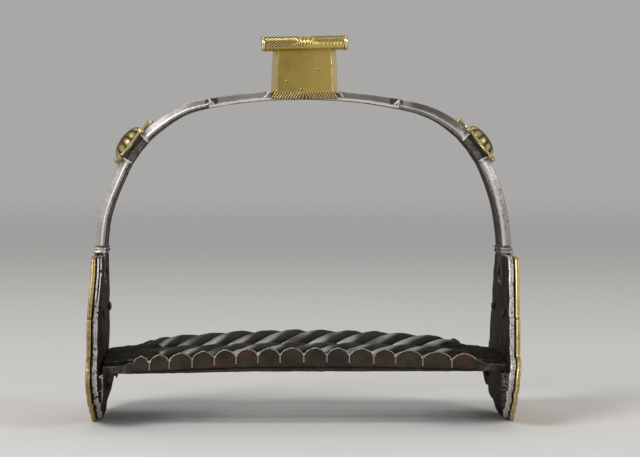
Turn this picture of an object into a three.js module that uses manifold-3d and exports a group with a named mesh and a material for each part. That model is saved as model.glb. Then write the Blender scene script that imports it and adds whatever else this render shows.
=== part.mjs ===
// A stirrup: a bevelled steel bow with a brass strap head and two brass rosettes, brass-faced side
// plates with scalloped edges, and an iron tread of scaled rails and twisted bars.
// Millimetres. X runs across the foot, Y runs to the back and Z is up. The origin is on the ground,
// midway between the tips of the two side plates.
import * as THREE from 'three';
import { mergeVertices } from 'three/addons/utils/BufferGeometryUtils.js';
import Module from 'manifold-3d';

const wasm = await Module();
wasm.setup();

// Fit between pieces that touch
const gap = 0.3;

// Bow: three arcs a side, measured on its outer face
const footHalfSpan = 72.2; // outer face of an arm at its foot
const footZ = 60.6; // underside of the arms, on the ferrules
const crownRadius = 193;
const shoulderRadius = 39;
const legRadius = 76;
const crownTurn = 11.4; // degrees that each arc turns through
const shoulderTurn = 54.6;
const legTurn = 21.5;
const crownThick = 3.1;
const armThick = 4.2;
const crownDepth = 13.5;
const armDepth = 16;
const thickenFrom = 15; // distances along the bow from its middle
const thickenTo = 70;

// Bevels of the bow's front and back faces
const ridgeShare = 0.37; // height of the arm's ridge above its inner face, as a share of the thickness
const ridgeFlat = 0.25;
const armBevelInner = 1.4;
const armBevelOuter = 1.9;
const crownBevel = 2.0;
const crownFlat = 1.0; // plain strip left under the crown's bevel
const stopAt = 33.6; // where the crown's bevel stops and the arm's ridge starts
const stopRun = 2.4;
const headStopAt = 12.4;
const headStopRun = 1.5;
const arcStep = 5.2; // degrees between sections on the shoulder

// Seats of the rosettes
const seatTurn = 52; // slope of the bow at the seat, in degrees below level
const seatLength = 9.4;
const seatRise = 0.35; // the seat block stands this far proud of the outer face
const seatStopRun = 1.4;

// Dovetail tongue under each foot of the bow, and the ferrule round its root
const tongueTopHalf = 4.2;
const tongueEndHalf = 5.6;
const tongueDrop = 9.5; // how far the tongue reaches into the side plate
const ferruleHeight = 2.4;
const ferruleOverhang = 0.35;
const ferruleWaist = 0.45;

// Side plates and the brass overlays on their outer faces
const overlayProud = 0.3; // the overlay stands out past the foot of the bow
const overlayThick = 1.5;
const plateThick = 2.0;
const plateInset = 0.6; // the steel stops short of the brass edge all round
const plateBevel = 0.35;
const plateTopHalf = 17.4;
const stepZ = 37.2; // small step in each upright edge
const tipHalf = 9;
const waistHalf = 28.8; // at the height of the tread
const waistZ = 24.8;
const lobeHalf = 34.2; // the widest place, just below the tread
const lobeZ = 17.4;
const lobePad = 2.2; // extra thickness inside the lower lobe, run out to nothing at the tip

// Rivets through overlay and side plate
const rivetShankR = 0.9;
const rivetHeadR = 1.7;
const rivetHeadRise = 0.8;
const topRivetDrop = 6; // below the top edge of the side plate
const rivetYs = [15, 19]; // of the middle pair and the low pair
const rivetZs = [38, 13.5];

// Tread: rails, twisted bars and the ends that gather them
const treadBottomZ = 19.2;
const railBackY = 23.1; // inner face of a rail
const railThick = 2.5;
const scaleProud = 0.7;
const scaleShares = [5.6, 6.7, 7.7, 7.5, 7.3, 7.4, 7.5, 8, 7.8, 7.6, 8.3, 7.4, 9.2, 9.9, 8.6]; // left to right
const scaleSeam = 0.45;
const scaleRise = 2.1; // height of the rounded top of a scale
const railSideHeight = 3.5; // from the rail's underside to where the rounded tops start
const railLift = 1.3; // how far the rail arches up at its middle
const railTopLift = 1.4; // what the scales gain in height from the ends to the middle
const railEndHeight = 3.5;
const railEndLength = 10.2; // plain length of a rail outside its scales
const middleRadius = 4.6;
const middleTopZ = 31;
const sideRadius = 3.6;
const sideTopZ = 27.9;
const sideY = 13.4;
const barEndShare = 0.62; // radius of a bar where it enters the tread end
const barTaper = 8; // length over which a bar grows to its full radius
const barPitch = 35; // length of one full turn of the twist
const barLobes = 4;
const lobeDepth = 0.16; // depth of the grooves as a share of the radius
const barPointsRound = 16;
const barSections = 33;
const middleArch = 3.2; // drop of a bar's middle line from its middle to its ends
const sideArch = 2.0;
const endLength = 12.2;
const endEdgeHeight = 3.4;
const endCrown = 2.2; // rise of the tread end from its edges to its middle, at the side plate
const endCrownInner = 4.0; // and where the bars go in
const socketRadius = 2.1;
const socketDepth = 5;
const tenonWidth = 6;
const tenonHeight = 2.2;
const tenonY = 11;

// Strap head
const loopHalfWidth = 9.75;
const cheekThick = 1.5;
const loopFrontY = -6.7;
const loopBackY = 4.0;
const loopBaseThick = 1.5;
const barCentreY = 1.45;
const strapBarDepth = 4.4;
const strapBarHeight = 4.2;
const barUndersideRise = 8.0; // height of the strap bar's underside above the crown
const headPlateThick = 1.5;
const headFrontY = -8.6;
const headHalfTop = 10.9; // half width of the brass, at the top and at the bottom
const headHalfFoot = 11.5;
const headChamfer = 1.9;
const headWallBackY = -2.2;
const headTopRise = 13.4; // above the crown
const bandHeight = 2.8;
const bandProud = 0.3;
const rollRadius = 2.6;
const rollHalfLength = 14.95;
const rollRimLength = 1.1;
const rollRimRise = 0.15;
const rollCentreY = -8.5;
const rollSink = 1.0; // how far the panel's tab reaches into the roll
const headPinR = 0.6;
const headPinRises = [4.2, 10.0];
const headPinY = -4.4;

// Rosettes
const rosetteRimR = 7.4;
const rosetteRimHeight = 1.1;
const domeHeight = 4.3;
const gadroons = 16;
const gadroonDepth = 0.32;
const petalCount = 8;
const petalReach = 9.5;
const petalHalfWidth = 1.9;
const petalThick = 0.9;
const petalKnobR = 0.85;
const rosetteRivetR = 1.2;
const rosetteButtonR = 1.6;
const rosetteButtonRise = 0.6;

// Sizes that follow from the ones above
const overlayOuterX = footHalfSpan + overlayProud;
const plateOuterX = overlayOuterX - overlayThick - gap;
const plateInnerX = plateOuterX - plateThick;
const ferruleTopZ = footZ - gap;
const ferruleBottomZ = ferruleTopZ - ferruleHeight;
const plateTopZ = ferruleBottomZ - gap;
const rivetPlaces = [
  [0, plateTopZ - topRivetDrop],
  ...rivetYs.flatMap((y, i) => [[-y, rivetZs[i]], [y, rivetZs[i]]]),
]; // Y and Z
const lobePadTopZ = treadBottomZ - gap;
const endOuterX = plateInnerX - gap;
const endInnerX = endOuterX - endLength;

// Finishes
const steel = new THREE.MeshStandardMaterial({ color: 0xa8a49c, roughness: 0.35, metalness: 1 });
const darkSteel = new THREE.MeshStandardMaterial({ color: 0x3a3834, roughness: 0.55, metalness: 0.9 });
const iron = new THREE.MeshStandardMaterial({ color: 0x2c2a26, roughness: 0.6, metalness: 0.8 });
const brass = new THREE.MeshStandardMaterial({ color: 0xb29a4c, roughness: 0.3, metalness: 1 });

const rad = THREE.MathUtils.degToRad;
const smooth = THREE.MathUtils.smoothstep;
const mix = THREE.MathUtils.lerp;

// Signed volume of indexed triangles, negative where the faces point in
function signedVolume(points, faces) {
  const [a, b, c] = [new THREE.Vector3(), new THREE.Vector3(), new THREE.Vector3()];
  let sum = 0;
  for (let i = 0; i < faces.length; i += 3) {
    a.fromArray(points, faces[i] * 3);
    b.fromArray(points, faces[i + 1] * 3);
    c.fromArray(points, faces[i + 2] * 3);
    sum += a.dot(b.cross(c)) / 6;
  }
  return sum;
}

// A closed geometry as a solid that can be joined and cut
function solidOf(geometry) {
  const bare = geometry.clone();
  bare.deleteAttribute('normal');
  bare.deleteAttribute('uv');
  const merged = mergeVertices(bare, 1e-4);
  const points = merged.getAttribute('position').array;
  const index = merged.getIndex().array;
  const faces = [];
  for (let i = 0; i < index.length; i += 3) {
    const [a, b, c] = [index[i], index[i + 1], index[i + 2]];
    if (a !== b && b !== c && c !== a) faces.push(a, b, c);
  }
  if (signedVolume(points, faces) < 0) faces.reverse();
  const mesh = new wasm.Mesh({
    numProp: 3,
    vertProperties: new Float32Array(points),
    triVerts: new Uint32Array(faces),
  });
  return new wasm.Manifold(mesh);
}

function geometryOf(solid) {
  const mesh = solid.getMesh();
  const geometry = new THREE.BufferGeometry();
  geometry.setAttribute('position', new THREE.BufferAttribute(mesh.vertProperties, 3));
  geometry.setIndex(new THREE.BufferAttribute(mesh.triVerts, 1));
  geometry.computeVertexNormals();
  return geometry;
}

function join(...geometries) {
  return geometryOf(geometries.map(solidOf).reduce((whole, next) => whole.add(next)));
}

function cut(body, ...tools) {
  return geometryOf(tools.map(solidOf).reduce((rest, tool) => rest.subtract(tool), solidOf(body)));
}

// Moves every point of a geometry by a rule
function shaped(geometry, rule) {
  const places = geometry.getAttribute('position');
  const p = new THREE.Vector3();
  for (let i = 0; i < places.count; i++) {
    p.fromBufferAttribute(places, i);
    rule(p);
    places.setXYZ(i, p.x, p.y, p.z);
  }
  return geometry;
}

// Skins a row of rings that have the same number of points, and closes the two ends on their middles
function loft(rings) {
  const count = rings[0].length;
  const points = rings.flat();
  const faces = [];
  for (let r = 0; r + 1 < rings.length; r++) {
    for (let i = 0; i < count; i++) {
      const next = (i + 1) % count;
      const [a, b] = [r * count + i, r * count + next];
      faces.push(a, b, b + count, a, b + count, a + count);
    }
  }
  for (const [ring, start, flip] of [[rings[0], 0, true], [rings.at(-1), (rings.length - 1) * count, false]]) {
    const middle = ring.reduce((sum, p) => sum.add(p), new THREE.Vector3()).divideScalar(count);
    points.push(middle);
    for (let i = 0; i < count; i++) {
      const edge = [start + i, start + ((i + 1) % count)];
      if (flip) edge.reverse();
      faces.push(edge[0], edge[1], points.length - 1);
    }
  }
  const geometry = new THREE.BufferGeometry().setFromPoints(points);
  geometry.setIndex(faces);
  return geometryOf(solidOf(geometry));
}

function box(x0, x1, y0, y1, z0, z1) {
  const geometry = new THREE.BoxGeometry(x1 - x0, y1 - y0, z1 - z0);
  return geometry.translate((x0 + x1) / 2, (y0 + y1) / 2, (z0 + z1) / 2);
}

// A flat outline pushed out into a solid, with an optional bevel inside its own size
function pushed(shape, depth, bevel = 0, curveSegments = 5) {
  const geometry = new THREE.ExtrudeGeometry(shape, {
    depth: depth - 2 * bevel,
    curveSegments,
    bevelEnabled: bevel > 0,
    bevelThickness: bevel,
    bevelSize: bevel,
    bevelOffset: -bevel,
    bevelSegments: 1,
  });
  return geometry.translate(0, 0, bevel);
}

// Turns an outline drawn in X and Y so that it stands in Y and Z and is pushed along X from x0
const standAcross = new THREE.Matrix4().makeBasis(
  new THREE.Vector3(0, 1, 0),
  new THREE.Vector3(0, 0, 1),
  new THREE.Vector3(1, 0, 0),
);

function pushedAcross(shape, x0, x1, bevel = 0, curveSegments = 5) {
  return pushed(shape, x1 - x0, bevel, curveSegments).applyMatrix4(standAcross).translate(x0, 0, 0);
}

// Stands an outline up in X and Z, pushed from y0 back to y1
function pushedBack(shape, y0, y1, bevel = 0, curveSegments = 5) {
  return pushed(shape, y1 - y0, bevel, curveSegments).rotateX(Math.PI / 2).translate(0, y1, 0);
}

function cylinderAcross(radius, x0, x1, y, z, sides = 12) {
  const geometry = new THREE.CylinderGeometry(radius, radius, x1 - x0, sides);
  return geometry.rotateZ(Math.PI / 2).translate((x0 + x1) / 2, y, z);
}

function polygon(points) {
  return new THREE.Shape(points.map(([x, y]) => new THREE.Vector2(x, y)));
}

// The bow's outer face: three tangent arcs from the crown's middle to the foot

const crownLength = crownRadius * rad(crownTurn);
const shoulderLength = shoulderRadius * rad(shoulderTurn);
const legLength = legRadius * rad(legTurn);
const halfLength = crownLength + shoulderLength + legLength;

function arcEnd(start, slope, radius, turn) {
  return {
    x: start.x + radius * (Math.sin(slope + turn) - Math.sin(slope)),
    z: start.z + radius * (Math.cos(slope + turn) - Math.cos(slope)),
    slope: slope + turn,
  };
}

// Place and slope at a distance along the right half, from the middle of the crown at height 0
function rightHalf(distance) {
  const onCrown = Math.min(distance, crownLength);
  let place = arcEnd({ x: 0, z: 0 }, 0, crownRadius, onCrown / crownRadius);
  const onShoulder = Math.min(Math.max(distance - crownLength, 0), shoulderLength);
  place = arcEnd(place, place.slope, shoulderRadius, onShoulder / shoulderRadius);
  const onLeg = Math.max(distance - crownLength - shoulderLength, 0);
  return arcEnd(place, place.slope, legRadius, onLeg / legRadius);
}

const footPlace = rightHalf(halfLength);
const spanStretch = footHalfSpan / footPlace.x;
const bowTopZ = footZ - footPlace.z;

function bowPlace(distance) {
  const place = rightHalf(Math.abs(distance));
  const side = Math.sign(distance) || 1;
  return {
    point: new THREE.Vector3(side * place.x * spanStretch, 0, bowTopZ + place.z),
    outward: new THREE.Vector3(side * Math.sin(place.slope), 0, Math.cos(place.slope)),
  };
}

const seatDistance = crownLength + shoulderRadius * rad(seatTurn - crownTurn);

function bowThick(distance) {
  return mix(crownThick, armThick, smooth(Math.abs(distance), thickenFrom, thickenTo));
}

function bowDepth(distance) {
  return mix(crownDepth, armDepth, smooth(Math.abs(distance), thickenFrom, thickenTo));
}

// Bevels of the section as [inner bevel, low edge of the face, high edge of the face, outer bevel]
function squareBevel(thick) {
  return [0, 0, thick, 0];
}

function crownBevelAt() {
  return [0, 0, crownFlat, crownBevel];
}

function armBevelAt(thick) {
  const ridge = thick * ridgeShare;
  return [armBevelInner, ridge - ridgeFlat / 2, ridge + ridgeFlat / 2, armBevelOuter];
}

function bowRing(distance, bevelAt) {
  const { point, outward } = bowPlace(distance);
  const thick = bowThick(distance);
  const half = bowDepth(distance) / 2;
  const [inner, low, high, outer] = bevelAt(thick);
  const corners = [[0, half - inner], [low, half], [high, half], [thick, half - outer]];
  const front = corners.map(([up, back]) => [up, -back]);
  const back = corners.map(([up, deep]) => [up, deep]).reverse();
  return [...front, ...back].map(([up, y]) => {
    const p = point.clone().addScaledVector(outward, up - thick);
    return p.setY(y);
  });
}

// Sections of the right half, from the middle of the crown to the foot
function bowSections() {
  const seatStart = seatDistance - seatLength / 2;
  const seatEnd = seatDistance + seatLength / 2;
  const stepLength = shoulderRadius * rad(arcStep);
  const sections = [[0, squareBevel], [headStopAt, squareBevel], [headStopAt + headStopRun, crownBevelAt]];
  sections.push([(headStopAt + stopAt) / 2, crownBevelAt], [stopAt - stopRun, crownBevelAt]);
  sections.push([stopAt - 0.2, squareBevel], [stopAt, armBevelAt]);
  const run = (from, to) => {
    const steps = Math.max(1, Math.round((to - from) / stepLength));
    for (let i = 0; i <= steps; i++) sections.push([mix(from, to, i / steps), armBevelAt]);
  };
  run(crownLength, seatStart - seatStopRun);
  sections.push([seatStart, squareBevel], [seatDistance, squareBevel], [seatEnd, squareBevel]);
  run(seatEnd + seatStopRun, crownLength + shoulderLength);
  run(crownLength + shoulderLength + 1.5 * stepLength, halfLength);
  return sections;
}

// Places a shape that was made round its own Z axis on the seat of the right rosette
const seat = bowPlace(seatDistance);
const seatMatrix = new THREE.Matrix4()
  .makeRotationY(rad(seatTurn))
  .setPosition(seat.point.clone().addScaledVector(seat.outward, seatRise));

function onSeat(geometry, side) {
  const placed = geometry.applyMatrix4(seatMatrix);
  return side < 0 ? placed.rotateZ(Math.PI) : placed;
}

function tongueShape(grow) {
  const top = footZ + 1.5;
  const end = plateTopZ - tongueDrop - grow;
  return polygon([
    [-tongueTopHalf - grow, top],
    [-tongueTopHalf - grow, plateTopZ],
    [-tongueEndHalf - grow, end],
    [tongueEndHalf + grow, end],
    [tongueTopHalf + grow, plateTopZ],
    [tongueTopHalf + grow, top],
  ]);
}

function makeBow() {
  const half = bowSections();
  const left = half.slice(1).reverse().map(([distance, bevelAt]) => bowRing(-distance, bevelAt));
  const right = half.map(([distance, bevelAt]) => bowRing(distance, bevelAt));
  const parts = [loft([...left, ...right])];
  const holes = [];
  const seatDepth = bowDepth(seatDistance);
  for (const side of [-1, 1]) {
    const block = box(-seatLength / 2, seatLength / 2, -seatDepth / 2, seatDepth / 2, -armThick * 0.6, 0);
    parts.push(onSeat(block, side));
    const tongue = pushedAcross(tongueShape(0), plateInnerX, plateOuterX);
    parts.push(side < 0 ? tongue.rotateZ(Math.PI) : tongue);
    const bore = new THREE.CylinderGeometry(rosetteRivetR + gap, rosetteRivetR + gap, 30, 14);
    holes.push(onSeat(bore.rotateX(Math.PI / 2), side));
    const [y, z] = rivetPlaces[0];
    const pin = cylinderAcross(rivetShankR + gap, plateInnerX - 2, plateOuterX + 2, y, z);
    holes.push(side < 0 ? pin.rotateZ(Math.PI) : pin);
  }
  return cut(join(...parts), ...holes);
}

// A ring of two beads round the root of the tongue
function makeFerrule() {
  const inner = footHalfSpan - armThick - ferruleOverhang;
  const outer = footHalfSpan + ferruleOverhang;
  const half = armDepth / 2 + ferruleOverhang;
  const bead = ferruleHeight / 2;
  const beadAt = (z0) => {
    const outline = polygon([[inner, -half], [outer, -half], [outer, half], [inner, half]]);
    return pushed(outline, bead, ferruleWaist).translate(0, 0, z0);
  };
  const core = box(
    inner + ferruleWaist, outer - ferruleWaist, -half + ferruleWaist, half - ferruleWaist,
    ferruleBottomZ + 0.1, ferruleTopZ - 0.1,
  );
  const hole = box(
    plateInnerX - gap, plateOuterX + gap, -tongueTopHalf - gap, tongueTopHalf + gap,
    ferruleBottomZ - 1, ferruleTopZ + 1,
  );
  return cut(join(core, beadAt(ferruleBottomZ), beadAt(ferruleBottomZ + bead)), hole);
}

// The scalloped outline of a side plate, drawn in Y and Z and drawn in by an inset all round
function plateOutline(inset) {
  const shape = new THREE.Shape();
  const at = (half, z) => [half - inset, z + inset * (1 - z / plateTopZ) * 1.5];
  // Each entry is a point to go to, with the pull of the curve that leads there
  const rightSide = [
    { to: [13.8, 4.1], pull: [12.6, 0.9] },
    { to: [16.2, 3.4] },
    { to: [22.9, 7.9], pull: [21.4, 4.2] },
    { to: [25.3, 7.1] },
    { to: [29.9, 12.8], pull: [29.5, 9.4] },
    { to: [32.6, 12.1] },
    { to: [lobeHalf, lobeZ], pull: [34.2, 14.2] },
    { to: [waistHalf, waistZ], pull: [34, 23] },
    { to: [26.9, stepZ - 0.4], pull: [28.3, (waistZ + stepZ) / 2] },
    { to: [25.3, stepZ + 0.3] },
    { to: [plateTopHalf + 2.2, plateTopZ - 2], pull: [23.9, (stepZ + plateTopZ) / 2] },
    { to: [plateTopHalf, plateTopZ], pull: [plateTopHalf + 1.9, plateTopZ] },
  ];
  shape.moveTo(...at(tipHalf, 0));
  for (const { to, pull } of rightSide) {
    if (pull) shape.quadraticCurveTo(...at(...pull), ...at(...to));
    else shape.lineTo(...at(...to));
  }
  const half = shape.getPoints(3);
  const mirrored = half.map((p) => new THREE.Vector2(-p.x, p.y)).reverse();
  return new THREE.Shape([...half, ...mirrored]);
}

function rivetHoles(x0, x1) {
  return rivetPlaces.map(([y, z]) => cylinderAcross(rivetShankR + gap, x0, x1, y, z));
}

function makeSidePlate() {
  const blank = pushedAcross(plateOutline(plateInset), plateInnerX, plateOuterX, plateBevel);
  // The lower lobe is thicker inside, and its extra thickness runs out towards the tip
  const lobeInnerX = plateInnerX - lobePad;
  const lobe = pushedAcross(plateOutline(plateInset + 0.4), lobeInnerX, plateInnerX + 0.5);
  const above = box(lobeInnerX - 1, plateInnerX + 2, -50, 50, lobePadTopZ, plateTopZ + 5);
  const pad = shaped(cut(lobe, above), (p) => {
    if (p.x < plateInnerX) p.x = plateInnerX - lobePad * smooth(p.z, -2, lobePadTopZ);
  });
  const notch = pushedAcross(tongueShape(gap), plateInnerX - 1, plateOuterX + 1);
  const slots = [-tenonY, tenonY].map((y) => box(
    plateInnerX - 4, plateOuterX + 1,
    y - tenonWidth / 2 - gap, y + tenonWidth / 2 + gap,
    treadBottomZ + 0.6 - gap, treadBottomZ + 0.6 + tenonHeight + gap,
  ));
  return cut(join(blank, pad), notch, ...slots, ...rivetHoles(plateInnerX - 5, plateOuterX + 1));
}

function makeOverlay() {
  const sheet = pushedAcross(plateOutline(0), plateOuterX + gap, overlayOuterX, 0.25);
  return cut(sheet, ...rivetHoles(plateOuterX - 1, overlayOuterX + 1));
}

// A rivet along X with its head inside and its shank flush with the overlay's outer face
function makeRivet(innerFaceX) {
  const headX = innerFaceX - gap;
  const profile = [[0, 0], [rivetShankR, 0]].map(([r, a]) => new THREE.Vector2(r, a));
  const length = overlayOuterX - headX;
  profile.push(new THREE.Vector2(rivetShankR, length), new THREE.Vector2(rivetHeadR, length));
  for (const turn of [30, 60]) {
    profile.push(new THREE.Vector2(
      rivetHeadR * Math.cos(rad(turn)),
      length + rivetHeadRise * Math.sin(rad(turn)),
    ));
  }
  profile.push(new THREE.Vector2(0, length + rivetHeadRise));
  const body = new THREE.LatheGeometry(profile, 8).rotateZ(Math.PI / 2);
  return geometryOf(solidOf(body.translate(overlayOuterX, 0, 0)));
}

// Lifts the middle of the tread above its ends
function railArch(x) {
  return railLift * (1 - (x / endOuterX) ** 2);
}

function makeRail() {
  const half = endOuterX - railEndLength;
  const tallAt = (x) => railSideHeight + railTopLift * (1 - (x / half) ** 2);
  // The rounded top of one scale, as points from its left shoulder to its right one
  const top = (x, reach, drop) => [-1, -0.65, 0, 0.65, 1].map((share) => {
    const z = tallAt(x) - drop + scaleRise * (1 - share * share);
    return [x + share * reach, z];
  });
  const total = scaleShares.reduce((sum, share) => sum + share);
  let edge = -half;
  const scales = scaleShares.map((share) => {
    const reach = (share / total) * half;
    edge += 2 * reach;
    return { x: edge - reach, reach };
  });
  const outline = [[-endOuterX, 0], [endOuterX, 0], [endOuterX, railEndHeight], [half + 1, railEndHeight]];
  for (const { x, reach } of [...scales].reverse()) outline.push(...top(x, reach - 0.01, 0.45).reverse());
  outline.push([-half - 1, railEndHeight], [-endOuterX, railEndHeight]);
  const back = pushedBack(polygon(outline), -railBackY - railThick, -railBackY);
  const shields = scales.map(({ x, reach }) => {
    const inside = reach - scaleSeam / 2;
    const shield = [[x - inside, 0.5], [x + inside, 0.5], ...top(x, inside, 0).reverse()];
    const front = -railBackY - railThick - scaleProud;
    return pushedBack(polygon(shield), front, -railBackY - 0.6);
  });
  const rail = join(back, ...shields);
  return shaped(rail, (p) => { p.z += treadBottomZ + railArch(p.x); });
}

// One twisted bar along X, arched up at its middle, with a round tenon at each end
function makeTwist(radius, topZ, drop) {
  const reach = endInnerX - gap;
  const tenonR = socketRadius - gap;
  const arch = (x) => topZ - radius - drop * (x / reach) ** 2;
  const endZ = arch(reach);
  const rings = [];
  const ring = (x, size, groove, z) => Array.from({ length: barPointsRound }, (_, i) => {
    const angle = (i / barPointsRound) * 2 * Math.PI;
    const lobe = Math.abs(Math.cos((barLobes * angle) / 2));
    const r = size * (1 - groove * (1 - lobe));
    const turned = angle - (x / barPitch) * 2 * Math.PI;
    return new THREE.Vector3(x, r * Math.sin(turned), z + r * Math.cos(turned));
  });
  const tip = reach + gap + socketDepth - gap;
  rings.push(ring(-tip, tenonR, 0, endZ), ring(-reach - 0.01, tenonR, 0, endZ));
  for (let i = 0; i <= barSections; i++) {
    const x = mix(-reach, reach, i / barSections);
    const grown = smooth(reach - Math.abs(x), 0, barTaper);
    rings.push(ring(x, radius * mix(barEndShare, 1, grown), lobeDepth * 2 * mix(0.3, 1, grown), arch(x)));
  }
  rings.push(ring(reach + 0.01, tenonR, 0, endZ), ring(tip, tenonR, 0, endZ));
  return loft(rings);
}

// The forged end that gathers the bars, with two tenons that pass through the side plate
function makeTreadEnd() {
  const half = railBackY - gap;
  const profile = new THREE.Shape();
  profile.moveTo(-half, treadBottomZ);
  profile.lineTo(half, treadBottomZ);
  profile.lineTo(half, treadBottomZ + endEdgeHeight);
  profile.quadraticCurveTo(0, treadBottomZ + endEdgeHeight + 2 * endCrown, -half, treadBottomZ + endEdgeHeight);
  // Its crown climbs towards the bars
  const edgeZ = treadBottomZ + endEdgeHeight;
  const body = shaped(pushedAcross(profile, endInnerX, endOuterX, 0, 10), (p) => {
    const inward = (endOuterX - p.x) / endLength;
    if (p.z > edgeZ) p.z = edgeZ + (p.z - edgeZ) * mix(1, endCrownInner / endCrown, inward);
  });
  const tenonZ = treadBottomZ + 0.6;
  const tenons = [-tenonY, tenonY].map((y) => box(
    endOuterX - 1, plateOuterX, y - tenonWidth / 2, y + tenonWidth / 2, tenonZ, tenonZ + tenonHeight,
  ));
  const sockets = [
    [0, middleTopZ - middleRadius - middleArch],
    [-sideY, sideTopZ - sideRadius - sideArch],
    [sideY, sideTopZ - sideRadius - sideArch],
  ].map(([y, z]) => cylinderAcross(socketRadius, endInnerX - 1, endInnerX + socketDepth, y, z, 16));
  return cut(join(body, ...tenons), ...sockets);
}

// The steel loop on the crown that the stirrup leather passes through, open at the top and the back
function makeLoop() {
  const top = barUndersideRise + strapBarHeight + 1.2;
  const base = gap;
  const cheek = (side) => {
    const outer = side * loopHalfWidth;
    const inner = side * (loopHalfWidth - cheekThick);
    return box(Math.min(outer, inner), Math.max(outer, inner), loopFrontY, loopBackY, base, top);
  };
  const foot = box(-loopHalfWidth, loopHalfWidth, loopFrontY, loopBackY, base, base + loopBaseThick);
  const barHole = strapBarOutline(gap, loopHalfWidth + 1);
  return cut(join(foot, cheek(-1), cheek(1)), barHole, ...headPinHoles());
}

// The strap bar, a flat-sided bar with rounded corners
function strapBarOutline(grow, half) {
  const y0 = barCentreY - strapBarDepth / 2 - grow;
  const y1 = barCentreY + strapBarDepth / 2 + grow;
  const z0 = barUndersideRise - grow;
  const z1 = barUndersideRise + strapBarHeight + grow;
  const outline = polygon([[y0, z0], [y1, z0], [y1, z1], [y0, z1]]);
  return pushedAcross(outline, -half, half, grow > 0 ? 0 : 0.4);
}

function makeStrapBar() {
  const round = 1.1;
  const y0 = barCentreY - strapBarDepth / 2;
  const y1 = barCentreY + strapBarDepth / 2;
  const z0 = barUndersideRise;
  const z1 = barUndersideRise + strapBarHeight;
  const outline = new THREE.Shape();
  outline.moveTo(y0 + round, z0);
  outline.lineTo(y1 - round, z0);
  outline.quadraticCurveTo(y1, z0, y1, z0 + round);
  outline.lineTo(y1, z1 - round);
  outline.quadraticCurveTo(y1, z1, y1 - round, z1);
  outline.lineTo(y0 + round, z1);
  outline.quadraticCurveTo(y0, z1, y0, z1 - round);
  outline.lineTo(y0, z0 + round);
  outline.quadraticCurveTo(y0, z0, y0 + round, z0);
  return pushedAcross(outline, -loopHalfWidth, loopHalfWidth, 0, 3);
}

function headPinHoles() {
  const reach = headHalfFoot + 1;
  return headPinRises.map((z) => cylinderAcross(headPinR + gap, -reach, reach, headPinY, z, 10));
}

function headHalfAt(z) {
  return mix(headHalfFoot, headHalfTop, (z - gap) / (headTopRise - gap));
}

// The brass front of the head: a tray with chamfered sides, and a band that hangs over the crown
function makeHeadPlate() {
  const wide = headHalfFoot;
  const inside = loopHalfWidth + gap;
  const chamferY = headFrontY + headChamfer;
  const innerY = headFrontY + headPlateThick;
  const tray = polygon([
    [-wide, headWallBackY],
    [-wide, chamferY],
    [-wide + headChamfer, headFrontY],
    [wide - headChamfer, headFrontY],
    [wide, chamferY],
    [wide, headWallBackY],
    [inside, headWallBackY],
    [inside, innerY],
    [-inside, innerY],
    [-inside, headWallBackY],
  ]);
  const foot = gap;
  const height = headTopRise - foot;
  // The sides lean in towards the top, and the faces against the loop stay upright
  const shell = shaped(pushed(tray, height).translate(0, 0, foot), (p) => {
    const onInside = Math.abs(Math.abs(p.x) - inside) < 0.01;
    if (!onInside) p.x -= Math.sign(p.x) * (headHalfFoot - headHalfAt(p.z));
  });
  const tabHalf = headHalfTop - headChamfer - 0.4;
  const tab = box(-tabHalf, tabHalf, headFrontY, innerY, headTopRise - 1, headTopRise + rollSink);
  const bandBack = -crownDepth / 2 - gap;
  const band = polygon([
    [-headHalfFoot, -bandHeight],
    [headHalfFoot, -bandHeight],
    [headHalfFoot, foot + 0.2],
    [-headHalfFoot, foot + 0.2],
  ]);
  const skirt = pushedBack(band, headFrontY - bandProud, bandBack, 0.35);
  return cut(join(shell, tab, skirt), ...headPinHoles());
}

function makeHeadPin(z) {
  const length = headHalfAt(z) - 0.1 - (loopHalfWidth - cheekThick);
  return cylinderAcross(headPinR, 0, length, 0, 0, 10);
}

// The roll along the top of the head, with a plain rim at each end and a groove for the panel's tab
function makeRoll() {
  const rim = rollRadius + rollRimRise;
  const inner = rollHalfLength - rollRimLength;
  const profile = [
    [0, -rollHalfLength],
    [rim - 0.5, -rollHalfLength],
    [rim, -rollHalfLength + 0.4],
    [rim, -inner],
    [rollRadius, -inner + 0.25],
    [rollRadius, inner - 0.25],
    [rim, inner],
    [rim, rollHalfLength - 0.4],
    [rim - 0.5, rollHalfLength],
    [0, rollHalfLength],
  ].map(([r, a]) => new THREE.Vector2(r, a));
  const roll = new THREE.LatheGeometry(profile, 24).rotateZ(Math.PI / 2);
  const tabHalf = headHalfTop - headChamfer - 0.4 + gap;
  const groove = box(
    -tabHalf, tabHalf,
    headFrontY - gap - rollCentreY, headFrontY + headPlateThick + gap - rollCentreY,
    -rollRadius - 1, -rollRadius + rollSink,
  );
  return cut(roll, groove);
}

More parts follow.
